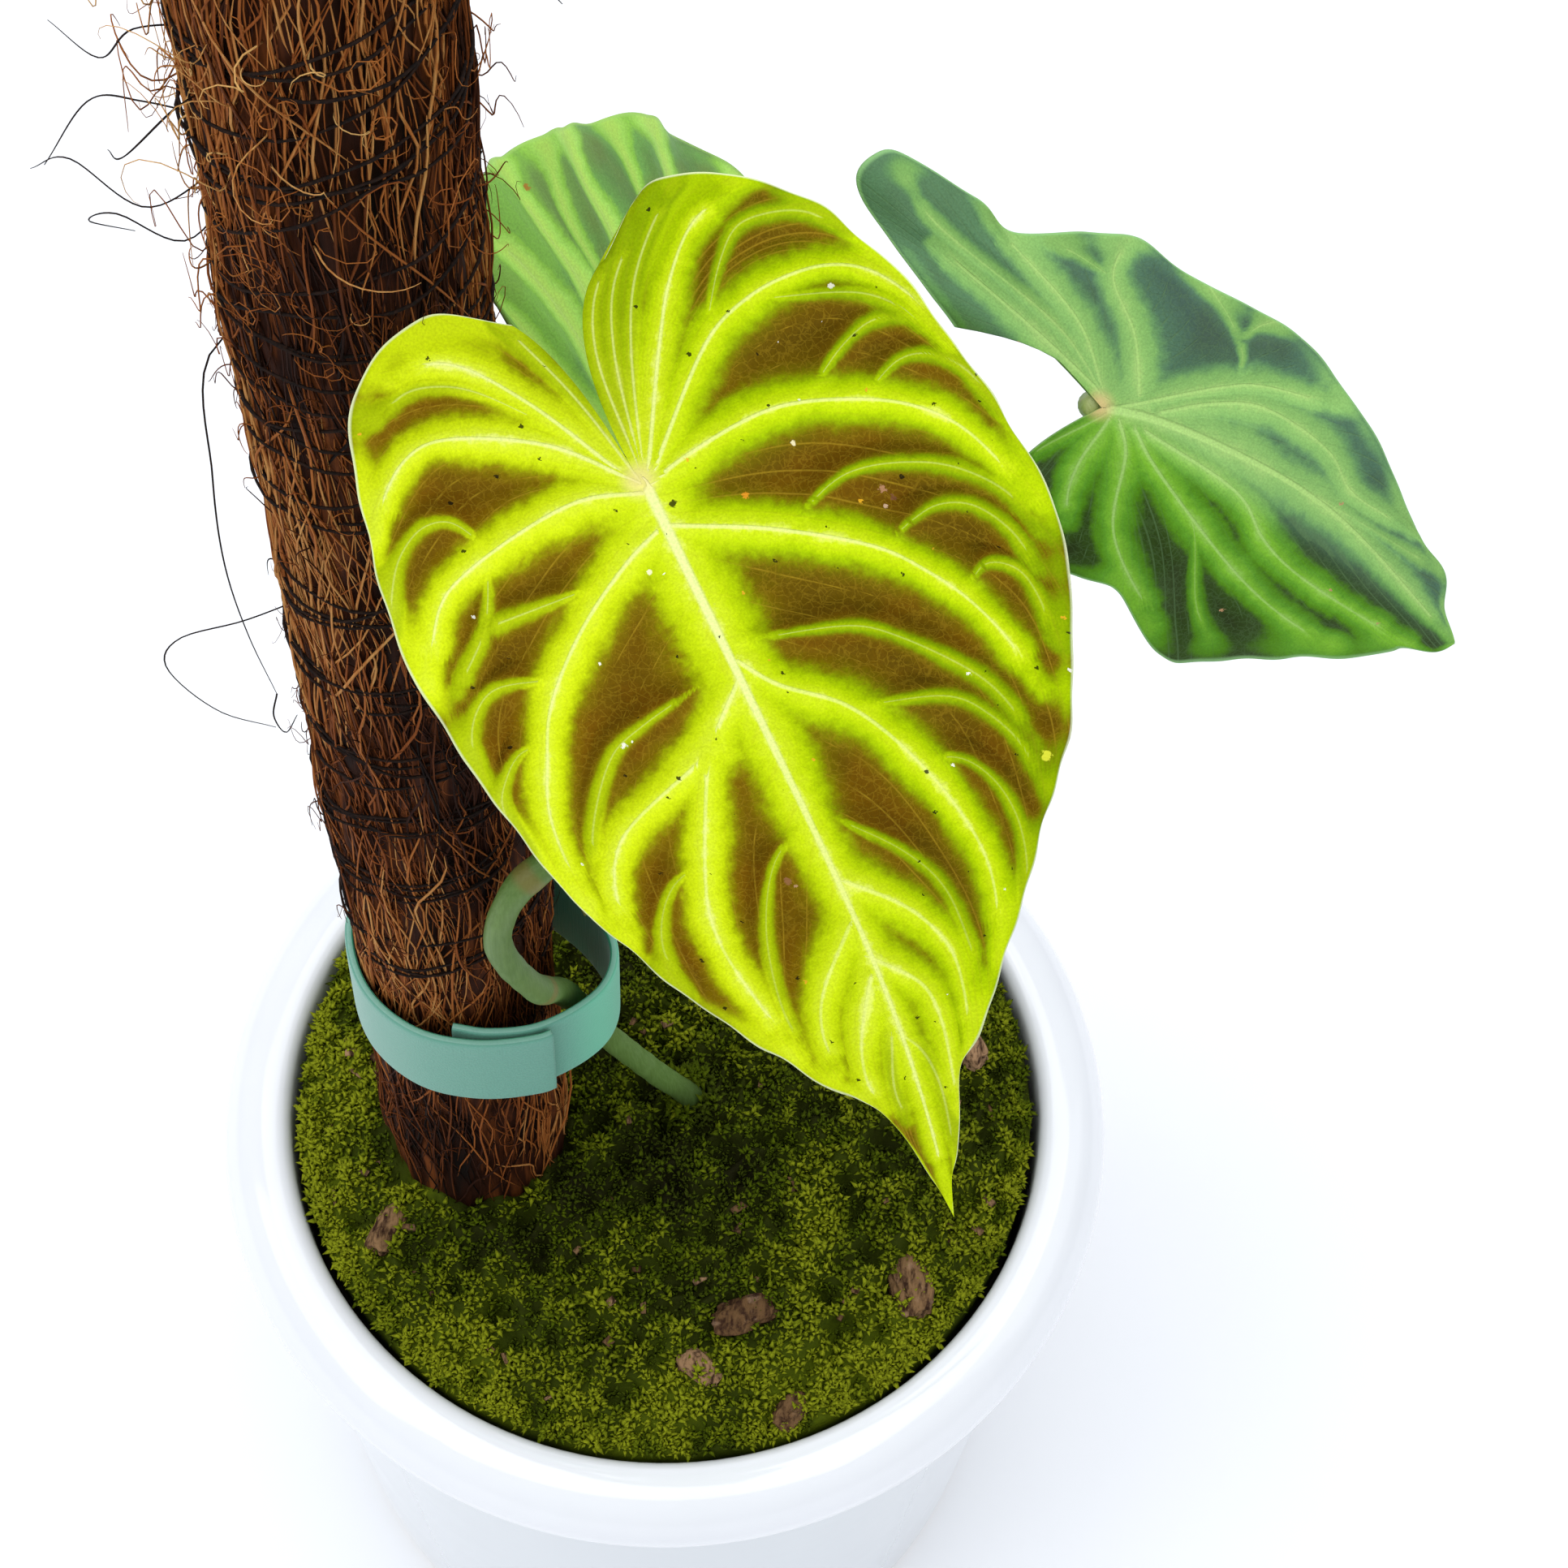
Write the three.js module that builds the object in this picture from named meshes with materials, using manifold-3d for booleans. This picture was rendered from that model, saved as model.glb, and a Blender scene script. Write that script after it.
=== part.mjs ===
// Potted climbing philodendron: a heart-leaved climber tied to a coir pole in a glossy white pot.
// Millimetres, +Z up. The origin is the middle of the pot's flat base; the plant faces -Y.
import * as THREE from 'three';
import { mergeVertices } from 'three/addons/utils/BufferGeometryUtils.js';
import Module from 'manifold-3d';

const wasm = await Module();
wasm.setup();

// Pot
const potHeight = 140;
const potMouthRadius = 66;
const potRimRadius = 78.5;
const potShoulderRadius = 72;
const potFootRadius = 64;
const potWall = 5;
const potFloor = 6;
const potSides = 44;

// Filling
const gap = 0.35;
const soilTop = 128;
const mossCrown = 149;
const mossEdge = 136;
const mossRelief = 1.3;
const chipHalfHeight = 1.9;
const chipRise = 0.5;
const chipPocket = 0.45;

// Coir pole
const poleX = -32.4;
const poleY = -10.7;
const poleTop = 450;
const poleLean = THREE.MathUtils.degToRad(-0.86);
const leanHeight = 210;
const sleeveBottom = 75;
const stakeBottom = 50;
const stakeRadius = 8;
const sleeveRadius = 14.7;
const sleeveRelief = 0.9;
const snugRelief = 0.25;
const snugAboveMoss = 8;
const snugBesideTie = 6;
const poleHoleRadius = 15.4;
const twineRadius = 0.8;
const twinePitch = 19;
const twineBottom = 228;

// Tie strap
const tieBottom = 200.5;
const tieTop = 220;
const tieThickness = 1.5;

// Stems
const stemRadius = 2.1;
const nodeSwelling = 0.12;
const rootRadius = 1.3;
const petioleRadius = 1.5;
const petioleCollar = 1.9;

// Blades
const bladeThickness = 0.9;
const hingeWidth = 4;
const bladeArch = 4;
const lobeArchShare = 0.35;
const bladeDroop = 0.003;
const petioleGap = 0.7;
const petioleNeck = 4;
const petioleTurn = 10;
const stationSpacing = 3;

const ceramicWhite = [0xf4f5f6, 0.18];
const soilBrown = [0x2c1d12, 0.95];
const mossGreen = [0x4d5a14, 0.98];
const coirBrown = [0x5b351c, 0.95];
const woodTan = [0xa98255, 0.8];
const twineBlack = [0x16120f, 0.8];
const tieMint = [0x86cdb8, 0.55];
const stemGreen = [0x9fb765, 0.5];
const barkBrown = [0x7d5a41, 0.9];
const limeLeaf = [0x93ad18, 0.42];
const greenLeaf = [0x5a9a4a, 0.45];

const plant = new THREE.Group();

const vec = (x, y, z) => new THREE.Vector3(x, y, z);

function addPart(name, geometry, [color, roughness]) {
  const material = new THREE.MeshStandardMaterial({ color, roughness, metalness: 0 });
  const mesh = new THREE.Mesh(geometry, material);
  mesh.name = name;
  plant.add(mesh);
}

// The pole leans a little to -X, about a point at the height of the tie
function leanPole(geometry) {
  const home = vec(poleX, poleY, leanHeight);
  geometry.translate(-home.x, -home.y, -home.z);
  geometry.rotateY(poleLean);
  return geometry.translate(home.x, home.y, home.z);
}

// Solids for joining and cutting
function toSolid(geometry) {
  const bare = geometry.clone();
  bare.deleteAttribute('normal');
  bare.deleteAttribute('uv');
  const merged = mergeVertices(bare, 1e-4);
  const vertProperties = new Float32Array(merged.attributes.position.array);
  const triVerts = new Uint32Array(merged.index.array);
  return new wasm.Manifold(new wasm.Mesh({ numProp: 3, vertProperties, triVerts }));
}

function toGeometry(solid) {
  const { vertProperties, triVerts } = solid.getMesh();
  const geometry = new THREE.BufferGeometry();
  geometry.setAttribute('position', new THREE.BufferAttribute(vertProperties, 3));
  geometry.setIndex(new THREE.BufferAttribute(triVerts, 1));
  return geometry;
}

function lathe(profile, sides) {
  const points = profile.map(([r, z]) => new THREE.Vector2(r, z));
  return new THREE.LatheGeometry(points, sides).rotateX(Math.PI / 2);
}

// Round bar along a smooth curve; radiusAt(t) may swell or thin it
function tube(points, radius, { sides = 8, steps = 12, radiusAt = () => 1 } = {}) {
  const curve = new THREE.CatmullRomCurve3(points, false, 'centripetal');
  const section = new THREE.Shape();
  section.absarc(0, 0, radius, 0, 2 * Math.PI, false);
  const options = { steps, bevelEnabled: false, curveSegments: sides / 2, extrudePath: curve };
  const geometry = new THREE.ExtrudeGeometry(section, options);
  const position = geometry.attributes.position;
  const centers = Array.from({ length: steps + 1 }, (_, i) => curve.getPointAt(i / steps));
  const point = new THREE.Vector3();
  for (let i = 0; i < position.count; i += 1) {
    point.fromBufferAttribute(position, i);
    let nearest = 0;
    for (let k = 1; k <= steps; k += 1) {
      if (centers[k].distanceToSquared(point) < centers[nearest].distanceToSquared(point)) nearest = k;
    }
    point.sub(centers[nearest]).multiplyScalar(radiusAt(nearest / steps)).add(centers[nearest]);
    position.setXYZ(i, point.x, point.y, point.z);
  }
  return geometry;
}

// Pot: rolled rim, undercut, thin collar, gently tapered body, flat foot
const undercutRadius = potShoulderRadius + 3;
const rimProfile = [
  [potMouthRadius, potHeight - 4],
  [potMouthRadius + 0.8, potHeight - 1.2],
  [potMouthRadius + 3, potHeight],
  [potMouthRadius + 7, potHeight - 0.6],
  [potRimRadius - 2.2, potHeight - 3],
  [potRimRadius, potHeight - 7],
  [potRimRadius, potHeight - 11],
  [potRimRadius - 1.4, potHeight - 14],
  [undercutRadius, potHeight - 15],
  [undercutRadius + 0.8, potHeight - 17],
  [undercutRadius, potHeight - 20.5],
  [potShoulderRadius, potHeight - 22.5],
];
const potInnerFoot = potFootRadius - potWall;
const potProfile = [
  [0, potFloor],
  [potInnerFoot - 3, potFloor],
  [potInnerFoot, potFloor + 3],
  [potMouthRadius - 1, potHeight - 26],
  ...rimProfile,
  [potFootRadius + 0.4, 5],
  [potFootRadius - 2.5, 0],
  [0, 0],
].reverse();

function insideRadius(z) {
  const share = (z - potFloor - 3) / (potHeight - 26 - potFloor - 3);
  const wall = THREE.MathUtils.clamp(share, 0, 1);
  return THREE.MathUtils.lerp(potInnerFoot, potMouthRadius - 1, wall);
}

addPart('pot', lathe(potProfile, potSides), ceramicWhite);

// Main stem: out of the moss on the right, through the tie, round the front of the pole and up
const stemPath = [
  vec(12, -2.5, 104),
  vec(6, -3.8, 145),
  vec(-1.6, -5.8, 162),
  vec(-9.4, -7.9, 180),
  vec(-13, -12.6, 200),
  vec(-15.4, -18.4, 217),
  vec(-18.3, -24.4, 230),
  vec(-22.6, -28.2, 253),
  vec(-19.4, -26.2, 265),
  vec(-13.4, -22, 270),
  vec(-10, -19, 284),
  vec(-10.4, -18, 306),
];
const stemSteps = 44;
const nodeSwell = (t) => 1 + nodeSwelling * Math.max(0, Math.cos(t * 2 * Math.PI * 5)) ** 6;

function stemSolid(radius, steps, radiusAt) {
  return toSolid(tube(stemPath, radius, { sides: 8, steps, radiusAt }));
}

// Aerial root, grown from a node of the stem and hanging beside the pole
const rootPath = [
  vec(-12, -19.5, 276),
  vec(-10.4, -14.4, 262),
  vec(-11.2, -12.4, 246),
  vec(-11.8, -11.6, 230),
];
const rootTaper = (t) => 1.1 - 0.5 * t;
const aerialRoot = toSolid(tube(rootPath, rootRadius, { sides: 6, steps: 6, radiusAt: rootTaper }));
const mainStem = stemSolid(stemRadius, stemSteps, nodeSwell).add(aerialRoot);
addPart('main_stem', toGeometry(mainStem), stemGreen);

// Soil: a plug that fills the pot up to the moss, with plain holes for the pole and the stem
function poleHole(radius, bottom, sides) {
  const depth = poleTop - bottom;
  const geometry = new THREE.CylinderGeometry(radius, radius, depth, sides).rotateX(Math.PI / 2);
  return toSolid(leanPole(geometry.translate(poleX, poleY, bottom + depth / 2)));
}

const sleeveHole = poleHole(poleHoleRadius, sleeveBottom - gap, 28);
const stakeHole = poleHole(stakeRadius + gap, stakeBottom - gap, 16);
const stemHole = stemSolid(stemRadius * (1 + nodeSwelling) + gap, stemSteps, () => 1);
const soilProfile = [
  [0, potFloor + gap],
  [potInnerFoot - 3 - gap, potFloor + gap],
  [potInnerFoot - gap, potFloor + 3 + gap],
  [insideRadius(potHeight - 26) - gap, potHeight - 26],
  [potMouthRadius - 1 - gap, soilTop],
  [0, soilTop],
];
const soilPlug = toSolid(lathe(soilProfile, potSides));
const soil = soilPlug.subtract(sleeveHole).subtract(stakeHole).subtract(stemHole);
addPart('potting_soil', toGeometry(soil), soilBrown);

// Moss: a mounded cushion with a lumpy top, on the soil
function mossHeight(x, y) {
  const r = Math.hypot(x, y) / potMouthRadius;
  const mound = THREE.MathUtils.lerp(mossCrown, mossEdge, r ** 3);
  const clumps = Math.sin(0.31 * x + 0.7) * Math.cos(0.27 * y - 0.4) + 0.6 * Math.sin(0.62 * x - 0.5 * y);
  const tufts = 0.45 * Math.sin(0.93 * y + 0.4 * x) * Math.cos(0.85 * x + 1.1);
  return mound + mossRelief * (clumps + tufts) * (1 - 0.6 * r ** 6);
}

function mossGeometry(rings, sides) {
  const outer = potMouthRadius - 1 - gap;
  const bottom = soilTop + gap;
  const position = [0, 0, mossHeight(0, 0)];
  const index = [];
  const at = (ring, side) => (ring === 0 ? 0 : 1 + (ring - 1) * sides + (side % sides));
  for (let ring = 1; ring <= rings; ring += 1) {
    for (let side = 0; side < sides; side += 1) {
      const angle = (2 * Math.PI * (side + 0.5 * (ring % 2))) / sides;
      const r = (outer * ring) / rings;
      const x = r * Math.cos(angle);
      const y = r * Math.sin(angle);
      position.push(x, y, mossHeight(x, y));
    }
  }
  for (let side = 0; side < sides; side += 1) {
    index.push(0, at(1, side), at(1, side + 1));
    for (let ring = 1; ring < rings; ring += 1) {
      const [a, b] = [at(ring, side), at(ring, side + 1)];
      const [c, d] = [at(ring + 1, side), at(ring + 1, side + 1)];
      if (ring % 2 === 1) index.push(a, c, d, a, d, b);
      else index.push(a, c, b, b, c, d);
    }
  }
  const rim = (side) => at(rings, side);
  const foot = position.length / 3;
  for (let side = 0; side < sides; side += 1) {
    const k = 3 * rim(side);
    position.push(position[k], position[k + 1], bottom);
  }
  const middle = position.length / 3;
  position.push(0, 0, bottom);
  for (let side = 0; side < sides; side += 1) {
    const [a, b] = [rim(side), rim(side + 1)];
    const [c, d] = [foot + side, foot + ((side + 1) % sides)];
    index.push(a, c, d, a, d, b);
    index.push(middle, d, c);
  }
  const geometry = new THREE.BufferGeometry();
  geometry.setAttribute('position', new THREE.Float32BufferAttribute(position, 3));
  geometry.setIndex(index);
  return geometry;
}

// Bark chips, half sunk in pockets of the moss: x, y, half length, half width, turn
const barkChips = [
  [16, -42, 5.5, 3.2, 0.4],
  [44, -33, 6.5, 3.6, 1.9],
  [9, -51, 4.5, 2.6, 2.6],
  [25, -56, 4, 2.6, 0.9],
  [-46, -29, 5, 2.8, 1.2],
  [52, 12, 5.5, 3, 2.2],
];

function chipGeometry([x, y, halfLength, halfWidth, turn], margin) {
  const geometry = new THREE.IcosahedronGeometry(1, 0);
  geometry.scale(halfLength + margin, halfWidth + margin, chipHalfHeight + margin);
  geometry.rotateZ(turn);
  return geometry.translate(x, y, mossHeight(x, y) + chipRise);
}

let moss = toSolid(mossGeometry(10, 40)).subtract(sleeveHole).subtract(stemHole);
barkChips.forEach((chip, i) => {
  moss = moss.subtract(toSolid(chipGeometry(chip, chipPocket)));
  addPart(`bark_chip_${i + 1}`, chipGeometry(chip, 0), barkBrown);
});
addPart('moss_layer', toGeometry(moss), mossGreen);

// Pole: a bare wooden stake inside a thick coir sleeve with a matted, lumpy face
const stakeProfile = [
  [0, stakeBottom],
  [stakeRadius - 3, stakeBottom],
  [stakeRadius, stakeBottom + 12],
  [stakeRadius, poleTop - 3],
  [0, poleTop - 3],
];
addPart('pole_stake', leanPole(lathe(stakeProfile, 16).translate(poleX, poleY, 0)), woodTan);

function sleeveSurface(angle, z) {
  const inMoss = z < mossCrown + snugAboveMoss;
  const underTie = z > tieBottom - snugBesideTie && z < tieTop + snugBesideTie;
  const relief = inMoss || underTie ? snugRelief : sleeveRelief;
  const mat = Math.sin(3 * angle + 0.06 * z) + 0.7 * Math.sin(5 * angle - 0.11 * z + 1.3);
  const lumps = 0.6 * Math.sin(0.23 * z + 2 * angle) + 0.5 * Math.sin(9 * angle + 0.4);
  return sleeveRadius + (relief * (mat + lumps)) / 2.8;
}

function sleeveGeometry(sides, rows) {
  const outline = [];
  for (let row = 0; row <= rows; row += 1) {
    outline.push([sleeveRadius, THREE.MathUtils.lerp(sleeveBottom, poleTop, row / rows)]);
  }
  outline.push([stakeRadius + gap, poleTop], [stakeRadius + gap, sleeveBottom]);
  outline.push([sleeveRadius, sleeveBottom]);
  const geometry = lathe(outline, sides);
  const position = geometry.attributes.position;
  for (let i = 0; i < position.count; i += 1) {
    const [x, y, z] = [position.getX(i), position.getY(i), position.getZ(i)];
    const r = Math.hypot(x, y);
    if (r > stakeRadius + 1) {
      const scale = sleeveSurface(Math.atan2(y, x), z) / r;
      position.setXYZ(i, x * scale, y * scale, z);
    }
  }
  return leanPole(geometry.translate(poleX, poleY, 0));
}

addPart('coir_sleeve', sleeveGeometry(26, 36), coirBrown);

// Twine wound round the sleeve, which keeps the coir together
const twineTurns = (poleTop - 8 - twineBottom) / twinePitch;
const twineSteps = Math.round(twineTurns * 13);
const twineWinding = sleeveRadius + sleeveRelief + gap + twineRadius;
const twinePath = Array.from({ length: twineSteps + 1 }, (_, i) => {
  const turn = (i / twineSteps) * twineTurns * 2 * Math.PI;
  const z = twineBottom + (i / twineSteps) * twineTurns * twinePitch;
  return vec(poleX + twineWinding * Math.cos(turn), poleY + twineWinding * Math.sin(turn), z);
});

function twineGeometry(path, radius) {
  const section = [0, 1, 2].map((k) => (2 * Math.PI * k) / 3);
  const position = [];
  const index = [];
  path.forEach((point) => {
    const out = vec(point.x - poleX, point.y - poleY, 0).normalize();
    section.forEach((angle) => {
      const reach = radius * Math.cos(angle);
      position.push(point.x + out.x * reach, point.y + out.y * reach, point.z + radius * Math.sin(angle));
    });
  });
  const last = 3 * (path.length - 1);
  for (let i = 0; i < path.length - 1; i += 1) {
    for (let k = 0; k < 3; k += 1) {
      const [a, b] = [3 * i + k, 3 * i + ((k + 1) % 3)];
      index.push(a, a + 3, b + 3, a, b + 3, b);
    }
  }
  index.push(0, 1, 2, last, last + 2, last + 1);
  const geometry = new THREE.BufferGeometry();
  geometry.setAttribute('position', new THREE.Float32BufferAttribute(position, 3));
  geometry.setIndex(index);
  return geometry;
}

addPart('pole_twine', leanPole(twineGeometry(twinePath, twineRadius)), twineBlack);

// Tie: one flat strap round pole and stem, its end lapped over its beginning at the front
const tieRoute = [
  [-31, -26.9],
  [-25.5, -27.4],
  [-17.2, -25.6],
  [-8.7, -18.6],
  [-7.4, -12],
  [-11.4, -4.8],
  [-20, 2],
  [-30, 5.8],
  [-40, 4.1],
  [-46.6, -2],
  [-48.7, -10.7],
  [-45.1, -21.2],
  [-37, -27.8],
  [-27, -29.5],
  [-17.3, -27.7],
  [-15.8, -26.9],
];

function tieGeometry() {
  const route = new THREE.CatmullRomCurve3(tieRoute.map(([x, y]) => vec(x, y, 0)), false, 'centripetal');
  const steps = 56;
  const [inner, outer] = [[], []];
  for (let i = 0; i <= steps; i += 1) {
    const point = route.getPointAt(i / steps);
    const along = route.getTangentAt(i / steps);
    const side = vec(-along.y, along.x, 0).multiplyScalar(tieThickness / 2);
    inner.push(new THREE.Vector2(point.x + side.x, point.y + side.y));
    outer.push(new THREE.Vector2(point.x - side.x, point.y - side.y));
  }
  const shape = new THREE.Shape([...outer, ...inner.reverse()]);
  const options = { depth: tieTop - tieBottom, bevelEnabled: false, steps: 1 };
  return new THREE.ExtrudeGeometry(shape, options).translate(0, 0, tieBottom);
}

addPart('tie_band', tieGeometry(), tieMint);

// Leaf blades. Each half is a fan of main veins: where a vein leaves the midrib, the point that it
// bows toward, and where it meets the margin. Distances are out from the midrib line and along it.
const frontBlade = {
  length: 91.6,
  bow: 2.4,
  bowSkew: 1,
  right: [
    [0, -2.6, -20, 6, -24],
    [0, 0.5, -21, 11, -28],
    [0, 4.8, -21.5, 15.5, -29.5],
    [0, 12, -27, 24, -25.5],
    [0, 18, -31, 33.5, -14],
    [0, 25.5, -31.5, 38.8, 4.8],
    [0, 34.5, -4.2, 40.6, 22.5],
    [5, 38.7, 20.4, 30.5, 47],
    [23.5, 24.2, 42.2, 14.5, 67],
    [50, 14.7, 56, 9, 73.5],
    [61, 9.2, 66.5, 5.3, 79.5],
    [72, 5, 73.3, 3, 84],
    [91.6, 0, 91.6, 0, 91.6],
  ],
  left: [
    [0, 1.8, -15.6, 6.2, -21.2],
    [0, 4.6, -15.4, 15, -25.6],
    [0, 7.8, -21.8, 25.8, -20],
    [0, 18.6, -21.4, 30.4, -4],
    [0, 20.7, -6.7, 31, 12.5],
    [5, 28.6, 16.6, 23.3, 43.3],
    [23.5, 18.7, 41.8, 9.5, 66.8],
    [50, 7.9, 60.5, 4.6, 73.2],
    [61, 4.5, 69.4, 1.9, 79],
    [72, 1, 76.6, 0.8, 84],
    [91.6, 0, 91.6, 0, 91.6],
  ],
};

const sideBlade = {
  length: 61,
  bow: 4.8,
  bowSkew: 0.7,
  right: [
    [0, 5, -7.5, -1.6, -21.7],
    [0, 4.5, -12, 3.4, -34.1],
    [0, 4.5, -15, 7.9, -42.3],
    [0, 5, -16, 12.9, -40],
    [0, 5, -13, 13.6, -28.5],
    [0, 8, -8, 12.4, -22],
    [0, 9.5, -5, 17.5, -14],
    [0, 11, -2.5, 20.6, -8],
    [0, 12, 2, 20.2, 3],
    [0, 11, 12, 21.5, 16],
    [2, 12.5, 14.5, 17, 30.5],
    [13, 11.5, 27.5, 9.5, 45],
    [30, 6.5, 42, 7, 52.5],
    [44, 3.5, 51, 2.8, 56],
    [61, 0, 61, 0, 61],
  ],
  left: [
    [0, 6, -3.4, 12.5, -3.9],
    [0, 9, -3.6, 18.5, -4.2],
    [0, 10, -1, 22.3, -0.5],
    [0, 10.5, 3, 22.8, 5],
    [0, 10.5, 7.5, 21.3, 12],
    [0, 10, 11.5, 20.2, 18],
    [0, 11, 15.5, 24.3, 28],
    [3, 4, 17, 21.5, 34],
    [8, 4.5, 27, 8.2, 51.5],
    [16, 4, 33, 4.8, 55],
    [32, 2.5, 50.5, 2.6, 59.3],
    [61, 0, 61, 0, 61],
  ],
};

const backBlade = {
  length: 80,
  bow: 2.4,
  bowSkew: 1,
  right: [
    [0, -2, -18, 14, -37],
    [0, 8, -22, 20, -41],
    [0, 18, -22, 28, -39],
    [0, 24, -18, 36, -33],
    [0, 27, -15, 40.5, -28.5],
    [0, 31, -10, 50, -18.5],
    [0, 34, -3, 57, -8],
    [0, 36, 4, 59.3, 0.5],
    [0, 38, 10, 57.5, 9.5],
    [4, 40, 18, 50, 25],
    [18, 34, 32, 34, 46],
    [38, 18, 48, 16, 60],
    [52, 8, 60, 7, 70],
    [80, 0, 80, 0, 80],
  ],
  left: [
    [0, 1, -5, 3.5, -9.5],
    [0, 5, -9, 11, -12],
    [0, 12, -9, 20.5, -8.5],
    [0, 20, -4, 32, 1],
    [0, 23, 6, 37, 12],
    [4, 24, 18, 33, 28],
    [18, 17, 34, 19, 45],
    [38, 7, 52, 9, 60],
    [52, 4, 62, 4.5, 70],
    [80, 0, 80, 0, 80],
  ],
};

// Smooth run through a list of equal-length rows
function splineAt(rows, position) {
  const last = rows.length - 1;
  const k = Math.min(Math.floor(position), last - 1);
  const f = position - k;
  const beyond = (end, next) => rows[end].map((value, c) => 2 * value - rows[next][c]);
  const before = rows[k - 1] ?? beyond(0, 1);
  const after = rows[k + 2] ?? beyond(last, last - 1);
  const [start, end] = [rows[k], rows[k + 1]];
  return start.map((value, c) => {
    const square = 2 * before[c] - 5 * value + 4 * end[c] - after[c];
    const cube = 3 * value - before[c] - 3 * end[c] + after[c];
    return value + 0.5 * ((end[c] - before[c]) * f + square * f ** 2 + cube * f ** 3);
  });
}

// Point of a half at vein number a (whole on a vein) and share b of the way from midrib to margin
function halfPoint(blade, veins, side, start, a, b) {
  const [, controlU, controlV, endU, endV] = splineAt(veins, a);
  const t = start / blade.length;
  const midU = blade.bow * Math.sin(Math.PI * t ** blade.bowSkew);
  const [m, c, e] = [(1 - b) ** 2, 2 * b * (1 - b), b * b];
  const u = m * midU + side * (c * controlU + e * endU);
  const v = m * start + c * controlV + e * endV;
  return [u, v];
}

// Height of the blade above its flat frame: arched midrib, folded halves that droop to the margin,
// sunken veins with the blade puffed up between them, and a waved margin
function bladeLift(blade, form, u, v, a, b) {
  const t = v / blade.length;
  const arch = bladeArch * 4 * t * (1 - t) * (t > 0 ? 1 : lobeArchShare);
  const fold = THREE.MathUtils.degToRad(u < 0 ? form.foldLeft : form.foldRight);
  const reach = Math.abs(u);
  const bent = (reach * reach) / (reach + hingeWidth);
  const fullness = Math.sin(Math.PI * Math.min(1, b)) ** 0.8 * b ** 0.5;
  const puff = form.puff * Math.sin(Math.PI * a) ** 2 * fullness;
  const wave = form.wave * Math.sin(Math.PI * a + form.wavePhase) * b ** 4;
  const taper = Math.min(1, (1 - t) * 4);
  const lift = arch + bent * Math.sin(fold) - bladeDroop * reach * reach + (puff + wave) * taper;
  return [u * Math.cos(fold), v, lift];
}

// Rows of a half: the basal veins fan out from the leaf stalk, the others leave the midrib
function halfRows(veins, stations, fanSteps) {
  const basal = veins.filter(([start]) => start === 0).length - 1;
  const rows = [];
  for (let i = 0; i < basal * fanSteps; i += 1) rows.push([i / fanSteps, 0]);
  stations.forEach((start) => {
    let k = basal;
    while (k < veins.length - 2 && veins[k + 1][0] < start) k += 1;
    rows.push([k + (start - veins[k][0]) / (veins[k + 1][0] - veins[k][0]), start]);
  });
  return rows;
}

// Stations along the midrib: where the veins of both halves leave it, and up to two in between
function midribStations(blade) {
  const starts = new Set([...blade.right, ...blade.left].map(([start]) => start));
  const onMidrib = [...starts].sort((p, q) => p - q);
  return onMidrib.flatMap((start, i) => {
    const run = (onMidrib[i + 1] ?? start) - start;
    const pieces = THREE.MathUtils.clamp(Math.ceil(run / stationSpacing), 1, 3);
    return Array.from({ length: pieces }, (_, k) => start + (k * run) / pieces);
  });
}

function bladeGeometry(blade, form, placement, fanSteps, acrossSteps) {
  const stations = midribStations(blade);
  const { origin, along, across, up } = placement;
  const points = [];
  const add = (u, v, a, b) => {
    const [x, y, n] = bladeLift(blade, form, u, v, a, b);
    const point = origin.clone().addScaledVector(across, x).addScaledVector(along, y);
    points.push(point.addScaledVector(up, n));
    return points.length - 1;
  };
  const spine = stations.map((start) => add(...halfPoint(blade, blade.right, 1, start, 0, 0), 0, 0));
  const tip = spine[spine.length - 1];
  const triangles = [];
  [[blade.right, 1], [blade.left, -1]].forEach(([veins, side]) => {
    const rows = halfRows(veins, stations, fanSteps);
    const grid = rows.map(([a, start], r) => {
      const fan = rows.length - stations.length;
      const atMidrib = r < fan ? spine[0] : spine[r - fan];
      if (atMidrib === tip) return Array(acrossSteps + 1).fill(tip);
      const line = [atMidrib];
      for (let s = 1; s <= acrossSteps; s += 1) {
        const b = s / acrossSteps;
        line.push(add(...halfPoint(blade, veins, side, start, a, b), a, b));
      }
      return line;
    });
    for (let r = 0; r < grid.length - 1; r += 1) {
      for (let s = 0; s < acrossSteps; s += 1) {
        const quad = [grid[r][s], grid[r][s + 1], grid[r + 1][s + 1], grid[r + 1][s]];
        [[quad[0], quad[1], quad[2]], [quad[0], quad[2], quad[3]]].forEach((tri) => {
          if (new Set(tri).size === 3) triangles.push(side < 0 ? tri : [tri[0], tri[2], tri[1]]);
        });
      }
    }
  });
  const count = points.length;
  const edges = new Map();
  triangles.forEach(([a, b, c]) => {
    [[a, b], [b, c], [c, a]].forEach(([p, q]) => edges.set(`${p},${q}`, [p, q]));
  });
  const index = triangles.flat();
  triangles.forEach(([a, b, c]) => index.push(a + count, c + count, b + count));
  edges.forEach(([p, q]) => {
    if (!edges.has(`${q},${p}`)) index.push(p, p + count, q + count, p, q + count, q);
  });
  const under = points.map((point) => point.clone().addScaledVector(up, -bladeThickness));
  const geometry = new THREE.BufferGeometry().setFromPoints([...points, ...under]);
  geometry.setIndex(index);
  return geometry;
}

// Where a blade sits: its stalk point, its tip and the way its right side points
function place(origin, tip, sideways) {
  const along = tip.clone().sub(origin).normalize();
  const across = sideways.clone().addScaledVector(along, -sideways.dot(along)).normalize();
  return { origin, along, across, up: along.clone().cross(across) };
}

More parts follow.
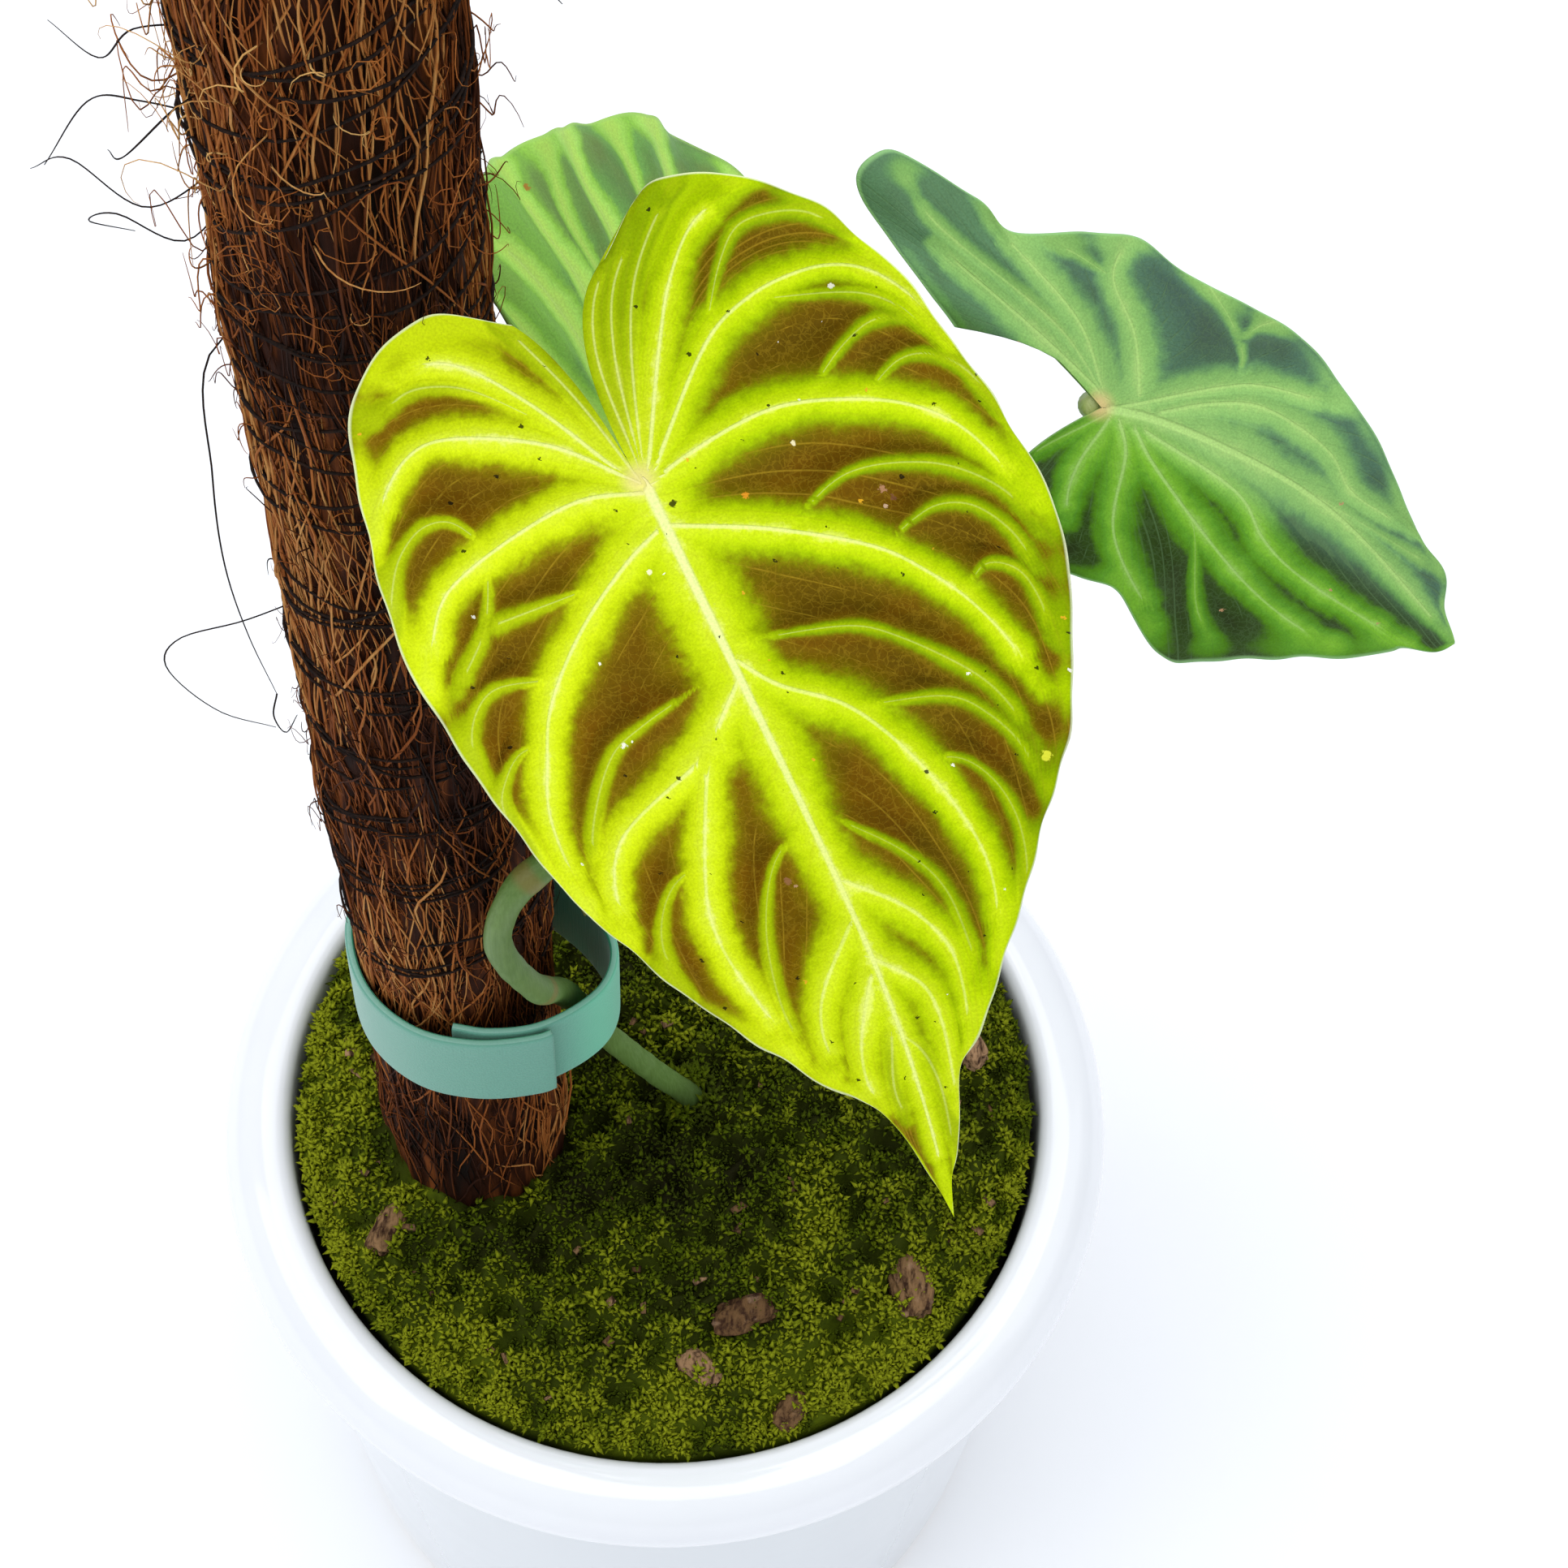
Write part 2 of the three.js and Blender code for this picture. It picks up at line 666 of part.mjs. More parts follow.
const leaves = {
  front: {
    blade: frontBlade,
    form: { foldLeft: 8, foldRight: 5, puff: 1.5, wave: 0.7, wavePhase: 0.6 },
    placement: place(vec(-0.2, -40.1, 387.8), vec(39.8, -99.6, 330.9), vec(0.894, 0.386, 0.226)),
    petiole: [vec(-10.6, -18.2, 304), vec(-9.5, -25, 330), vec(-4, -31, 356)],
    stalkAhead: 0,
    mesh: [3, 7],
    color: limeLeaf,
  },
  back: {
    blade: backBlade,
    form: { foldLeft: 6, foldRight: 6, puff: 1.5, wave: 1.2, wavePhase: 1.4 },
    placement: place(vec(1.4, -7.6, 336), vec(49.6, -2.2, 272.3), vec(0, 1, 0.09)),
    petiole: [vec(-10, -19, 286), vec(-7.5, -8.5, 297), vec(-7.5, -6, 314)],
    stalkAhead: 0,
    mesh: [2, 6],
    color: greenLeaf,
  },
  right: {
    blade: sideBlade,
    form: { foldLeft: -25, foldRight: 8, puff: 1.3, wave: 0.8, wavePhase: 0.3 },
    placement: place(vec(54.8, 7.8, 341.4), vec(105.6, -3.8, 309.5), vec(0.467, 0.749, 0.47)),
    petiole: [vec(-13, -22, 270), vec(8, -31, 274), vec(31, -27, 292), vec(48, 1, 310)],
    stalkAhead: 8,
    mesh: [2, 6],
    color: greenLeaf,
  },
};

// Stalk of a leaf: from the side of the stem up to the underside of the blade, wider at both ends.
// Its last bend lies under the blade, a little ahead of where it joins.
function petioleSolid({ petiole, placement, stalkAhead }) {
  const { origin, along, up } = placement;
  const under = (depth) => origin.clone().addScaledVector(up, -depth);
  const bend = under(petioleTurn).addScaledVector(along, stalkAhead);
  const flare = (t) => 1 + (petioleCollar / petioleRadius - 1) * (1 - Math.sin(Math.PI * t) ** 0.5);
  const shape = { sides: 6, steps: 16, radiusAt: flare };
  const path = [...petiole, bend, under(petioleNeck), under(bladeThickness + petioleGap)];
  return toSolid(tube(path, petioleRadius, shape));
}

Object.entries(leaves).forEach(([name, leaf]) => {
  const blade = bladeGeometry(leaf.blade, leaf.form, leaf.placement, ...leaf.mesh);
  addPart(`leaf_blade_${name}`, blade, leaf.color);
  const petiole = petioleSolid(leaf).subtract(stemHole);
  const [longest] = petiole.decompose().sort((p, q) => q.volume() - p.volume());
  addPart(`petiole_${name}`, toGeometry(longest), stemGreen);
});

export default plant;
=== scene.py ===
import math

import bpy
import numpy as np
from bpy.props import FloatProperty, FloatVectorProperty, IntProperty, PointerProperty
from mathutils import Matrix


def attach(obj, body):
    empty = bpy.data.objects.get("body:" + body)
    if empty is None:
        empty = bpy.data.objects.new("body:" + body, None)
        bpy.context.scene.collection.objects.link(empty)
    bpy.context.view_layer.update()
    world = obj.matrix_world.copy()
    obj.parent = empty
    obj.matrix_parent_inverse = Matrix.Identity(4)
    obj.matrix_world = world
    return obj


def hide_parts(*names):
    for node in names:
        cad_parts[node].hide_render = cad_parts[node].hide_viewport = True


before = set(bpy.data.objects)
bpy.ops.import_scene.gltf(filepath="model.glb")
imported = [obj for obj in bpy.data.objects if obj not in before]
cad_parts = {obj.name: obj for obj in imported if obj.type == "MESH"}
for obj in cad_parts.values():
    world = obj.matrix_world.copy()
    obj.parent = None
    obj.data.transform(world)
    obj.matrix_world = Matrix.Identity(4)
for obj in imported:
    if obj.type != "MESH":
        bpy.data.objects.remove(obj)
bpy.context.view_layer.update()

bl_info = {
    "name": "Potted climbing philodendron",
    "version": (1, 0, 0),
    "blender": (4, 5, 0),
    "location": "3D View > Sidebar > Plant",
    "description": "Builds the looks of a heart-leaved climber on a coir pole in a glossy white pot",
    "category": "Object",
}

MM = 0.001
TURN = 2 * math.pi

# Sizes shared with the solids, in millimetres
POT_HEIGHT = 140
MOUTH = 66
RIM = 78.5
SHOULDER = 72
FOOT = 64
WALL = 5
FLOOR = 6
GAP = 0.35
SOIL_TOP = 128
MOSS_CROWN = 149
MOSS_EDGE = 136
MOSS_RADIUS = MOUTH - 1 - GAP
POLE = np.array([-32.4, -10.7])
POLE_TOP = 450
LEAN = math.radians(-0.86)
LEAN_HEIGHT = 210
SLEEVE_BOTTOM = 75
STAKE_RADIUS = 8
SLEEVE_RADIUS = 14.7
TIE_BOTTOM = 200.5
TIE_TOP = 220
STEM_RADIUS = 2.1
ROOT_RADIUS = 1.3
PETIOLE_RADIUS = 1.5
PETIOLE_COLLAR = 1.9
HINGE = 4


# ---------------------------------------------------------------- shapes

def unit(vectors):
    """Each vector divided by its own length."""
    return vectors / np.maximum(np.linalg.norm(vectors, axis=-1, keepdims=True), 1e-9)


def ease(low, high, value):
    """A share that stays 0 below low, 1 above high and turns softly between them."""
    t = np.clip((value - low) / (high - low), 0, 1)
    return t * t * (3 - 2 * t)


def squared(wave, power):
    """A wave with blunter tops: its size to the power, with its own sign."""
    return np.sign(wave) * np.abs(wave) ** power


def around(angle):
    """Directions round the Z axis: the cosine and the sine of each angle."""
    return np.stack([np.cos(angle), np.sin(angle)], axis=-1)


def spun(points, turn):
    """Points turned about the Z axis."""
    x, y, z = np.moveaxis(points, -1, 0)
    c, s = np.cos(turn), np.sin(turn)
    return np.stack([x * c - y * s, x * s + y * c, z], axis=-1)


def ripple(points, seed, longest, shortest, waves=16):
    """Smooth unevenness of about -1 to 1: a sum of sine waves in random directions, with lengths
    from longest to shortest, the longer ones higher by the root of their length."""
    rng = np.random.default_rng(seed)
    length = np.geomspace(longest, shortest, waves)
    direction = unit(rng.normal(size=(waves, points.shape[-1])))
    height = np.sqrt(length)
    phase = rng.uniform(0, TURN, waves)
    total = np.sin(points @ (direction * (TURN / length)[:, None]).T + phase) @ height
    return total / math.sqrt(float((height ** 2).sum()))


def running(line):
    """The length run along a line up to each of its points."""
    return np.concatenate([[0], np.cumsum(np.linalg.norm(np.diff(line, axis=0), axis=1))])


def even(line, steps):
    """The line cut into steps of equal length."""
    run = running(line)
    cuts = np.linspace(0, run[-1], steps + 1)
    return np.stack([np.interp(cuts, run, line[:, k]) for k in range(line.shape[1])], axis=1)


def through(corners, steps):
    """A smooth line through the corners, in steps of equal length. Between two corners it is the
    cubic whose end slopes come from the neighbours, weighed by the root of the distance between
    them."""
    corners = np.asarray(corners, float)
    knots = np.vstack([2 * corners[0] - corners[1], corners, 2 * corners[-1] - corners[-2]])
    root = np.sqrt(np.linalg.norm(np.diff(knots, axis=0), axis=1))[:, None]
    x0, x1, x2, x3 = knots[:-3], knots[1:-2], knots[2:-1], knots[3:]
    g0, g1, g2 = root[:-2], root[1:-1], root[2:]
    s1 = ((x1 - x0) / g0 - (x2 - x0) / (g0 + g1) + (x2 - x1) / g1) * g1
    s2 = ((x2 - x1) / g1 - (x3 - x1) / (g1 + g2) + (x3 - x2) / g2) * g1
    f = np.linspace(0, 1, 33)[:-1, None, None]
    cubic = x1 + s1 * f + (3 * (x2 - x1) - 2 * s1 - s2) * f ** 2 + (2 * (x1 - x2) + s1 + s2) * f ** 3
    dense = np.vstack([cubic.transpose(1, 0, 2).reshape(-1, corners.shape[1]), corners[-1:]])
    return even(dense, steps)


def soften(profile, rounds=3):
    """The profile with its corners cut at a quarter of each side, again and again, its ends kept."""
    for _ in range(rounds):
        near = profile[:-1] * 0.75 + profile[1:] * 0.25
        far = profile[:-1] * 0.25 + profile[1:] * 0.75
        middle = np.stack([near, far], axis=1).reshape(-1, 2)
        profile = np.vstack([profile[:1], middle[1:-1], profile[-1:]])
    return profile


def lattice(rows, columns, wrap_rows=False, wrap_columns=False):
    """Quads between the neighbours of a grid of points, row by row."""
    i = np.arange(rows if wrap_rows else rows - 1)[:, None]
    j = np.arange(columns if wrap_columns else columns - 1)[None, :]
    down, across = (i + 1) % rows, (j + 1) % columns
    corners = [i * columns + j, down * columns + j, down * columns + across, i * columns + across]
    return np.stack([np.broadcast_to(c, (i.size, j.size)) for c in corners], axis=-1).reshape(-1, 4)


def caps(first, last, total, flip=False):
    """Fans that close a tube's first and last ring of point numbers. Their middles are the last two
    of all its points."""
    low, high = (np.stack([np.full(len(ring), total - 2 + k), np.roll(ring, -1), ring], 1)
                 for k, ring in enumerate((first, last)))
    turned = [0, 2, 1]
    return np.vstack([low[:, turned], high] if flip else [low, high[:, turned]])


def bars(lines, radii, sides):
    """Round bars along many lines of equally many points. At each point a ring stands square to
    the line: centre + radius x (cosine of the angle x normal + sine x binormal). A fan closes each
    end."""
    count, stations, _ = lines.shape
    tangent = unit(np.gradient(lines, axis=1))
    least = np.abs(tangent).mean(axis=1).argmin(axis=1)
    normal = unit(np.cross(tangent, np.eye(3)[least][:, None, :]))
    binormal = np.cross(tangent, normal)
    angle = TURN * np.arange(sides) / sides
    spoke = np.cos(angle)[:, None] * normal[:, :, None] + np.sin(angle)[:, None] * binormal[:, :, None]
    rings = lines[:, :, None] + radii[..., None, None] * spoke
    wall = stations * sides
    points = np.concatenate([rings.reshape(count, wall, 3), lines[:, :1], lines[:, -1:]], axis=1)
    quads = lattice(stations, sides, wrap_columns=True)[:, [0, 3, 2, 1]]
    ring = np.arange(sides)
    tris = caps(ring, wall - sides + ring, wall + 2)
    shift = (np.arange(count) * (wall + 2))[:, None, None]
    return points.reshape(-1, 3), (quads + shift).reshape(-1, 4), (tris + shift).reshape(-1, 3)


def lathe(profile, sides):
    """The profile of radius and height turned round the Z axis. Its two ends lie on the axis."""
    wall, rows = profile[1:-1], len(profile) - 2
    flat = around(TURN * np.arange(sides) / sides)[:, None] * wall[:, :1]
    height = np.broadcast_to(wall[:, 1:], (sides, rows, 1))
    ends = [[0, 0, profile[0, 1]], [0, 0, profile[-1, 1]]]
    points = np.vstack([np.concatenate([flat, height], axis=-1).reshape(-1, 3), ends])
    ring = np.arange(sides) * rows
    return points, lattice(sides, rows, wrap_rows=True), caps(ring, ring + rows - 1, len(points))


def join(*shapes):
    """Several shapes as one: points stacked, and faces moved on by the points before them."""
    points, quads, tris, at = [], [], [], 0
    for shape in shapes:
        points.append(shape[0])
        quads.append(shape[1] + at)
        tris.append(shape[2] + at)
        at += len(shape[0])
    return np.vstack(points), np.vstack(quads), np.vstack(tris)


def new_piece(name, shape, finish, nodes=(), marks=None, sheet=None):
    """A smooth mesh at the origin from points in millimetres, riding on the plant. shape is points,
    quads and triangles; marks are numbers that the finish reads, one for each point or for each of
    equal runs of points; sheet is a flat place for each point, kept as the UV map."""
    points, quads, tris = shape
    quads = np.asarray(quads, np.int32).reshape(-1, 4)
    tris = np.asarray(tris, np.int32).reshape(-1, 3)
    corners = np.concatenate([quads.ravel(), tris.ravel()])
    sizes = np.repeat([4, 3], [len(quads), len(tris)])
    mesh = bpy.data.meshes.new(name)
    mesh.vertices.add(len(points))
    mesh.vertices.foreach_set("co", (np.asarray(points) * MM).astype(np.float32).ravel())
    mesh.loops.add(len(corners))
    mesh.loops.foreach_set("vertex_index", corners)
    mesh.polygons.add(len(sizes))
    mesh.polygons.foreach_set("loop_start", np.concatenate([[0], np.cumsum(sizes)[:-1]]).astype(np.int32))
    mesh.polygons.foreach_set("use_smooth", np.ones(len(sizes), bool))
    mesh.update(calc_edges=True)
    for mark, values in (marks or {}).items():
        layer = mesh.attributes.new(mark, "FLOAT", "POINT")
        values = np.repeat(np.asarray(values, np.float32), len(points) // len(values))
        layer.data.foreach_set("value", values)
    if sheet is not None:
        layer = mesh.uv_layers.new(name="Sheet")
        layer.uv.foreach_set("vector", sheet[corners].astype(np.float32).ravel())
    if mesh.validate(clean_customdata=False):
        raise RuntimeError(f"{name} has faults in its mesh")
    mesh.materials.append(finish)
    piece = bpy.data.objects.new(name, mesh)
    bpy.context.scene.collection.objects.link(piece)
    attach(piece, "root")
    if nodes:
        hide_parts(*nodes)
    return piece


# ---------------------------------------------------------------- finishes

def tint(red, green, blue):
    """A colour from 0 to 255 as linear light, with an alpha of 1."""
    share = np.array([red, green, blue]) / 255
    light = np.where(share <= 0.04045, share / 12.92, ((share + 0.055) / 1.055) ** 2.4)
    return (*light.tolist(), 1.0)


def light_of(color):
    """Linear light of a colour: a tuple runs from 0 to 255, and a setting is linear already."""
    return tint(*color) if isinstance(color, tuple) else (*color, 1.0)


class Finish:
    """A surface finish made of shader nodes round one Principled shader."""

    def __init__(self, name, **sockets):
        self.material = bpy.data.materials.new(name)
        self.material.use_nodes = True
        self.tree = self.material.node_tree
        self.shader = self.tree.nodes["Principled BSDF"]
        for socket, value in sockets.items():
            self.give(self.shader.inputs[socket.replace("_", " ")], value)

    def node(self, kind, inputs, **settings):
        """A node with its settings, and its inputs given as values or as other nodes' outputs."""
        node = self.tree.nodes.new("ShaderNode" + kind)
        for key, value in settings.items():
            setattr(node, key, value)
        for key, value in inputs.items():
            self.give(node.inputs[key], value)
        return node

    def add(self, kind, inputs, output=0, **settings):
        """One output of a new node."""
        return self.node(kind, inputs, **settings).outputs[output]

    def give(self, socket, value):
        """Sets a socket's value, or links it to another node's output."""
        if isinstance(value, bpy.types.NodeSocket):
            self.tree.links.new(value, socket)
        else:
            socket.default_value = light_of(value) if socket.type == "RGBA" else value

    def place(self, scale=(1, 1, 1)):
        """Object coordinates in metres, stretched by scale."""
        return self.add("Mapping", {"Vector": self.add("TexCoord", {}, "Object"), "Scale": scale})

    def sheet(self, scale):
        """The piece's own flat places, stretched by scale."""
        return self.add("Mapping", {"Vector": self.add("UVMap", {}, uv_map="Sheet"), "Scale": scale})

    def height(self):
        """Height above the floor in millimetres."""
        return self.add("SeparateXYZ", {0: self.place((1000, 1000, 1000))}, "Z")

    def mark(self, name):
        """A number kept at the piece's points."""
        return self.add("Attribute", {}, "Fac", attribute_name=name, attribute_type="GEOMETRY")

    def maths(self, operation, first, second=0.0, third=0.0):
        """A sum, product or other function of numbers."""
        return self.add("Math", {0: first, 1: second, 2: third}, operation=operation)

    def plus(self, first, second):
        """Their sum."""
        return self.maths("ADD", first, second)

    def times(self, first, second):
        """Their product."""
        return self.maths("MULTIPLY", first, second)

    def most(self, first, second):
        """The larger of them."""
        return self.maths("MAXIMUM", first, second)

    def sway(self, noise, width):
        """Noise from 0 to 1 as a change of that width about nought."""
        return self.maths("MULTIPLY_ADD", noise, width, -width / 2)

    def moved(self, spot, step):
        """A place moved by a step."""
        return self.add("VectorMath", {0: spot, 1: step}, operation="ADD")

    def away(self, spot, other):
        """The distance between two places."""
        return self.add("VectorMath", {0: spot, 1: other}, "Value", operation="DISTANCE")

    def span(self, value, low, high, start=0.0, end=1.0):
        """The value carried softly from low..high to start..end, and held there outside."""
        inputs = {"Value": value, "From Min": low, "From Max": high, "To Min": start, "To Max": end}
        return self.add("MapRange", inputs, interpolation_type="SMOOTHSTEP")

    def noise(self, spot, scale, detail):
        """Cloudy noise from 0 to 1."""
        return self.add("TexNoise", {"Vector": spot, "Scale": scale, "Detail": detail, "Roughness": 0.6})

    def net(self, spot, scale, wide, narrow):
        """Thin lines between random cells."""
        inputs = {"Vector": spot, "Scale": scale}
        return self.span(self.add("TexVoronoi", inputs, feature="DISTANCE_TO_EDGE"), wide, narrow)

    def mix(self, share, first, second, blend="MIX"):
        """One colour turned into another by the share."""
        return self.add("Mix", {0: share, 6: first, 7: second}, 2, data_type="RGBA", blend_type=blend)

    def ramp(self, share, stops):
        """A colour read off a row of stops, each a position and a colour."""
        node = self.node("ValToRGB", {"Fac": share})
        band = node.color_ramp.elements
        while len(band) < len(stops):
            band.new(1.0)
        for element, (position, color) in zip(band, stops):
            element.position = position
            element.color = light_of(color)
        return node.outputs["Color"]

    def bump(self, height, distance, strength):
        """A surface normal tilted by the slopes of height, whose full range is distance in metres."""
        return self.add("Bump", {"Height": height, "Distance": distance, "Strength": strength})

    def finish(self, color, roughness=None, normal=None):
        """Joins colour, roughness and normal to the shader and returns the material."""
        for socket, value in (("Base Color", color), ("Roughness", roughness), ("Normal", normal)):
            if value is not None:
                self.give(self.shader.inputs[socket], value)
        return self.material


def grained(name, first, second, scale=(1, 1, 1), cell=1, detail=3, turn=None, relief=None, **sockets):
    """A finish of two colours mixed by one grain. turn is where the first gives way to the second,
    and relief is the grain's depth in metres and its strength."""
    f = Finish(name, **sockets)
    grain = f.noise(f.place(scale), cell, detail)
    share = f.span(grain, *turn) if turn else grain
    return f.finish(f.mix(share, first, second), None, f.bump(grain, *relief) if relief else None)


# ---------------------------------------------------------------- pot, soil, moss and bark

# Painted shade greying the pot's body below the rim: how much of each light the body's colour gives back, against the
# rim's
BODY_PAINTED_SHADE = (0.71, 0.74, 0.75)
# Places on the moss and heights of shoots and leaflets, in millimetres
STEM_FOOT = (4.6, -4.2)
FOOT_SHOOTS = 90
BRIM_SHOOTS = 1100
LEAFLETS = 5
NEAR_SIDE = -8
CHIP_HALF_HEIGHT = 1.9
BARK_CHIPS = [
    (16, -42, 5.5, 3.2, 0.4), (44, -33, 6.5, 3.6, 1.9), (9, -51, 4.5, 2.6, 2.6),
    (25, -56, 4, 2.6, 0.9), (-46, -29, 5, 2.8, 1.2), (52, 12, 5.5, 3, 2.2),
]


def build_pot(sizes, colors):
    """The pot's outline, up the outside, over the rim and down inside, turned round its axis."""
    undercut, top = SHOULDER + 3, POT_HEIGHT
    profile = soften(np.array([
        (0, 0), (FOOT - 9, 0), (FOOT - 8.6, 0.8), (FOOT - 5, 0.8), (FOOT - 4.5, 0), (FOOT - 2.5, 0),
        (FOOT - 0.4, 1.6), (FOOT + 0.4, 5), (SHOULDER - 0.2, top - 23.5), (SHOULDER, top - 22.5),
        (undercut - 0.6, top - 21), (undercut, top - 20.5), (undercut + 0.8, top - 17), (undercut, top - 15),
        (RIM - 1.4, top - 14), (RIM, top - 11), (RIM, top - 7), (RIM - 2.2, top - 3), (MOUTH + 7, top - 0.6),
        (MOUTH + 3, top), (MOUTH + 0.8, top - 1.2), (MOUTH, top - 4), (MOUTH - 1, top - 26),
        (FOOT - WALL, FLOOR + 3), (FOOT - WALL - 3, FLOOR), (0, FLOOR),
    ], float))
    new_piece("glazed_pot", lathe(profile, sizes.pot_sides), glaze(colors), ["pot"])


def glaze(colors):
    """Glossy white glaze: faint cloudy tone, painted shade on the body below the rim, a slight orange-peel, and a bare
    biscuit foot ring.
    """
    f = Finish("white_glaze", Coat_Weight=0.6, Coat_Roughness=0.04, Specular_IOR_Level=0.55)
    spot, height = f.place(), f.height()
    cloud = f.noise(spot, 26, 3)
    white = f.mix(f.span(cloud, 0.3, 0.7), colors.glaze, np.multiply(colors.glaze, 0.965))
    bare = f.span(height, 1.6, 0.7)
    biscuit = f.mix(f.noise(spot, 900, 3), (214, 199, 178), (236, 226, 210))
    # Painted shade: the body below the rim is greyed as if the rim shaded it
    body = f.span(height, POT_HEIGHT - 17, POT_HEIGHT - 24)
    white = f.mix(body, white, np.multiply(colors.glaze, BODY_PAINTED_SHADE))
    roughness = f.plus(f.span(cloud, 0.3, 0.7, 0.10, 0.16), f.times(bare, 0.6))
    return f.finish(f.mix(bare, white, biscuit), roughness, f.bump(f.noise(spot, 210, 2), 0.00003, 0.3))


def finish_soil(sizes, colors):
    """Potting soil: crumbly dark brown, put on the solid itself."""
    finish = grained("potting_soil", (24, 15, 9), (84, 58, 38), cell=420, detail=5, relief=(0.001, 0.8), Roughness=0.95)
    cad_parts["potting_soil"].material_slots[0].material = finish


def moss_height(x, y):
    """Top of the moss: a mound that falls with the cube of the distance from the middle, and broad
    clumps and small tufts as products of sine waves that fade towards the edge."""
    r = np.hypot(x, y) / MOUTH
    mound = MOSS_CROWN + (MOSS_EDGE - MOSS_CROWN) * r ** 3
    clumps = np.sin(0.31 * x + 0.7) * np.cos(0.27 * y - 0.4) + 0.6 * np.sin(0.62 * x - 0.5 * y)
    tufts = 0.45 * np.sin(0.93 * y + 0.4 * x) * np.cos(0.85 * x + 1.1)
    return mound + 1.3 * (clumps + tufts) * (1 - 0.6 * r ** 6)


def moss_lumps(x, y):
    """Small cushions on the moss: rounded bumps a few millimetres wide with creases between them."""
    spot = np.stack([x, y], axis=-1)
    return 1.25 * (1 - 2 * np.abs(ripple(spot, 11, 15, 5))) + 0.4 * ripple(spot, 12, 4, 1.6)


def moss_top(x, y):
    """The bed's top with its cushions, which flatten towards the edge."""
    return moss_height(x, y) + moss_lumps(x, y) * (1 - (np.hypot(x, y) / MOSS_RADIUS) ** 12)


def moss_tone_and_light(x, y):
    """How yellow and bright the moss is, from 0 to 1: patches, brighter at the left edge, where light from the
    left is painted, brighter at the lower right, and darker in front of the pole, where the front leaf's shadow is
    painted."""
    patch = 0.42 + 0.26 * ripple(np.stack([x, y], axis=-1), 13, 42, 9)
    # Painted light: the moss at the left is brightened as if lit from the left
    left = ease(-30, -60, x)
    corner = ease(30, 8, np.hypot(x - 38, y + 40))
    # Painted shade: the moss in front of the pole is darkened as if under the front leaf's shadow
    dark = ease(26, 4, np.hypot(x - 6, y + 22))
    edge = ease(48, 62, np.hypot(x, y))
    low = ease(-40, -56, y)
    return np.clip(patch + 0.4 * left + 0.36 * corner - 0.28 * dark + 0.16 * edge + 0.32 * low, 0, 1)


def build_moss(sizes, colors):
    """Moss bed: rings of points on the mound and its cushions, with a wall and a flat underside."""
    rings, sides = 125, 165
    share = np.linspace(0, 1, rings + 1)[1:, None, None]
    x, y = np.moveaxis(MOSS_RADIUS * share * around(TURN * np.arange(sides) / sides), -1, 0)
    grid = np.stack([x, y, moss_top(x, y)], axis=-1)
    floor = SOIL_TOP + GAP
    foot = grid[-1] * [1, 1, 0] + [0, 0, floor]
    points = np.vstack([grid.reshape(-1, 3), foot, [[0, 0, grid[0, :, 2].mean()], [0, 0, floor]]])
    ring = np.arange(sides)
    shape = points, lattice(rings + 1, sides, wrap_columns=True), caps(ring, rings * sides + ring, len(points), True)
    # The bed is darkened under the shoots: painted shade down in the moss
    marks = {"tone": moss_tone_and_light(points[:, 0], points[:, 1]) * 0.7, "tip": [0.1]}
    finish = moss_finish(colors)
    new_piece("moss_bed", shape, finish, ["moss_layer"], marks)
    build_moss_shoots(sizes, finish)


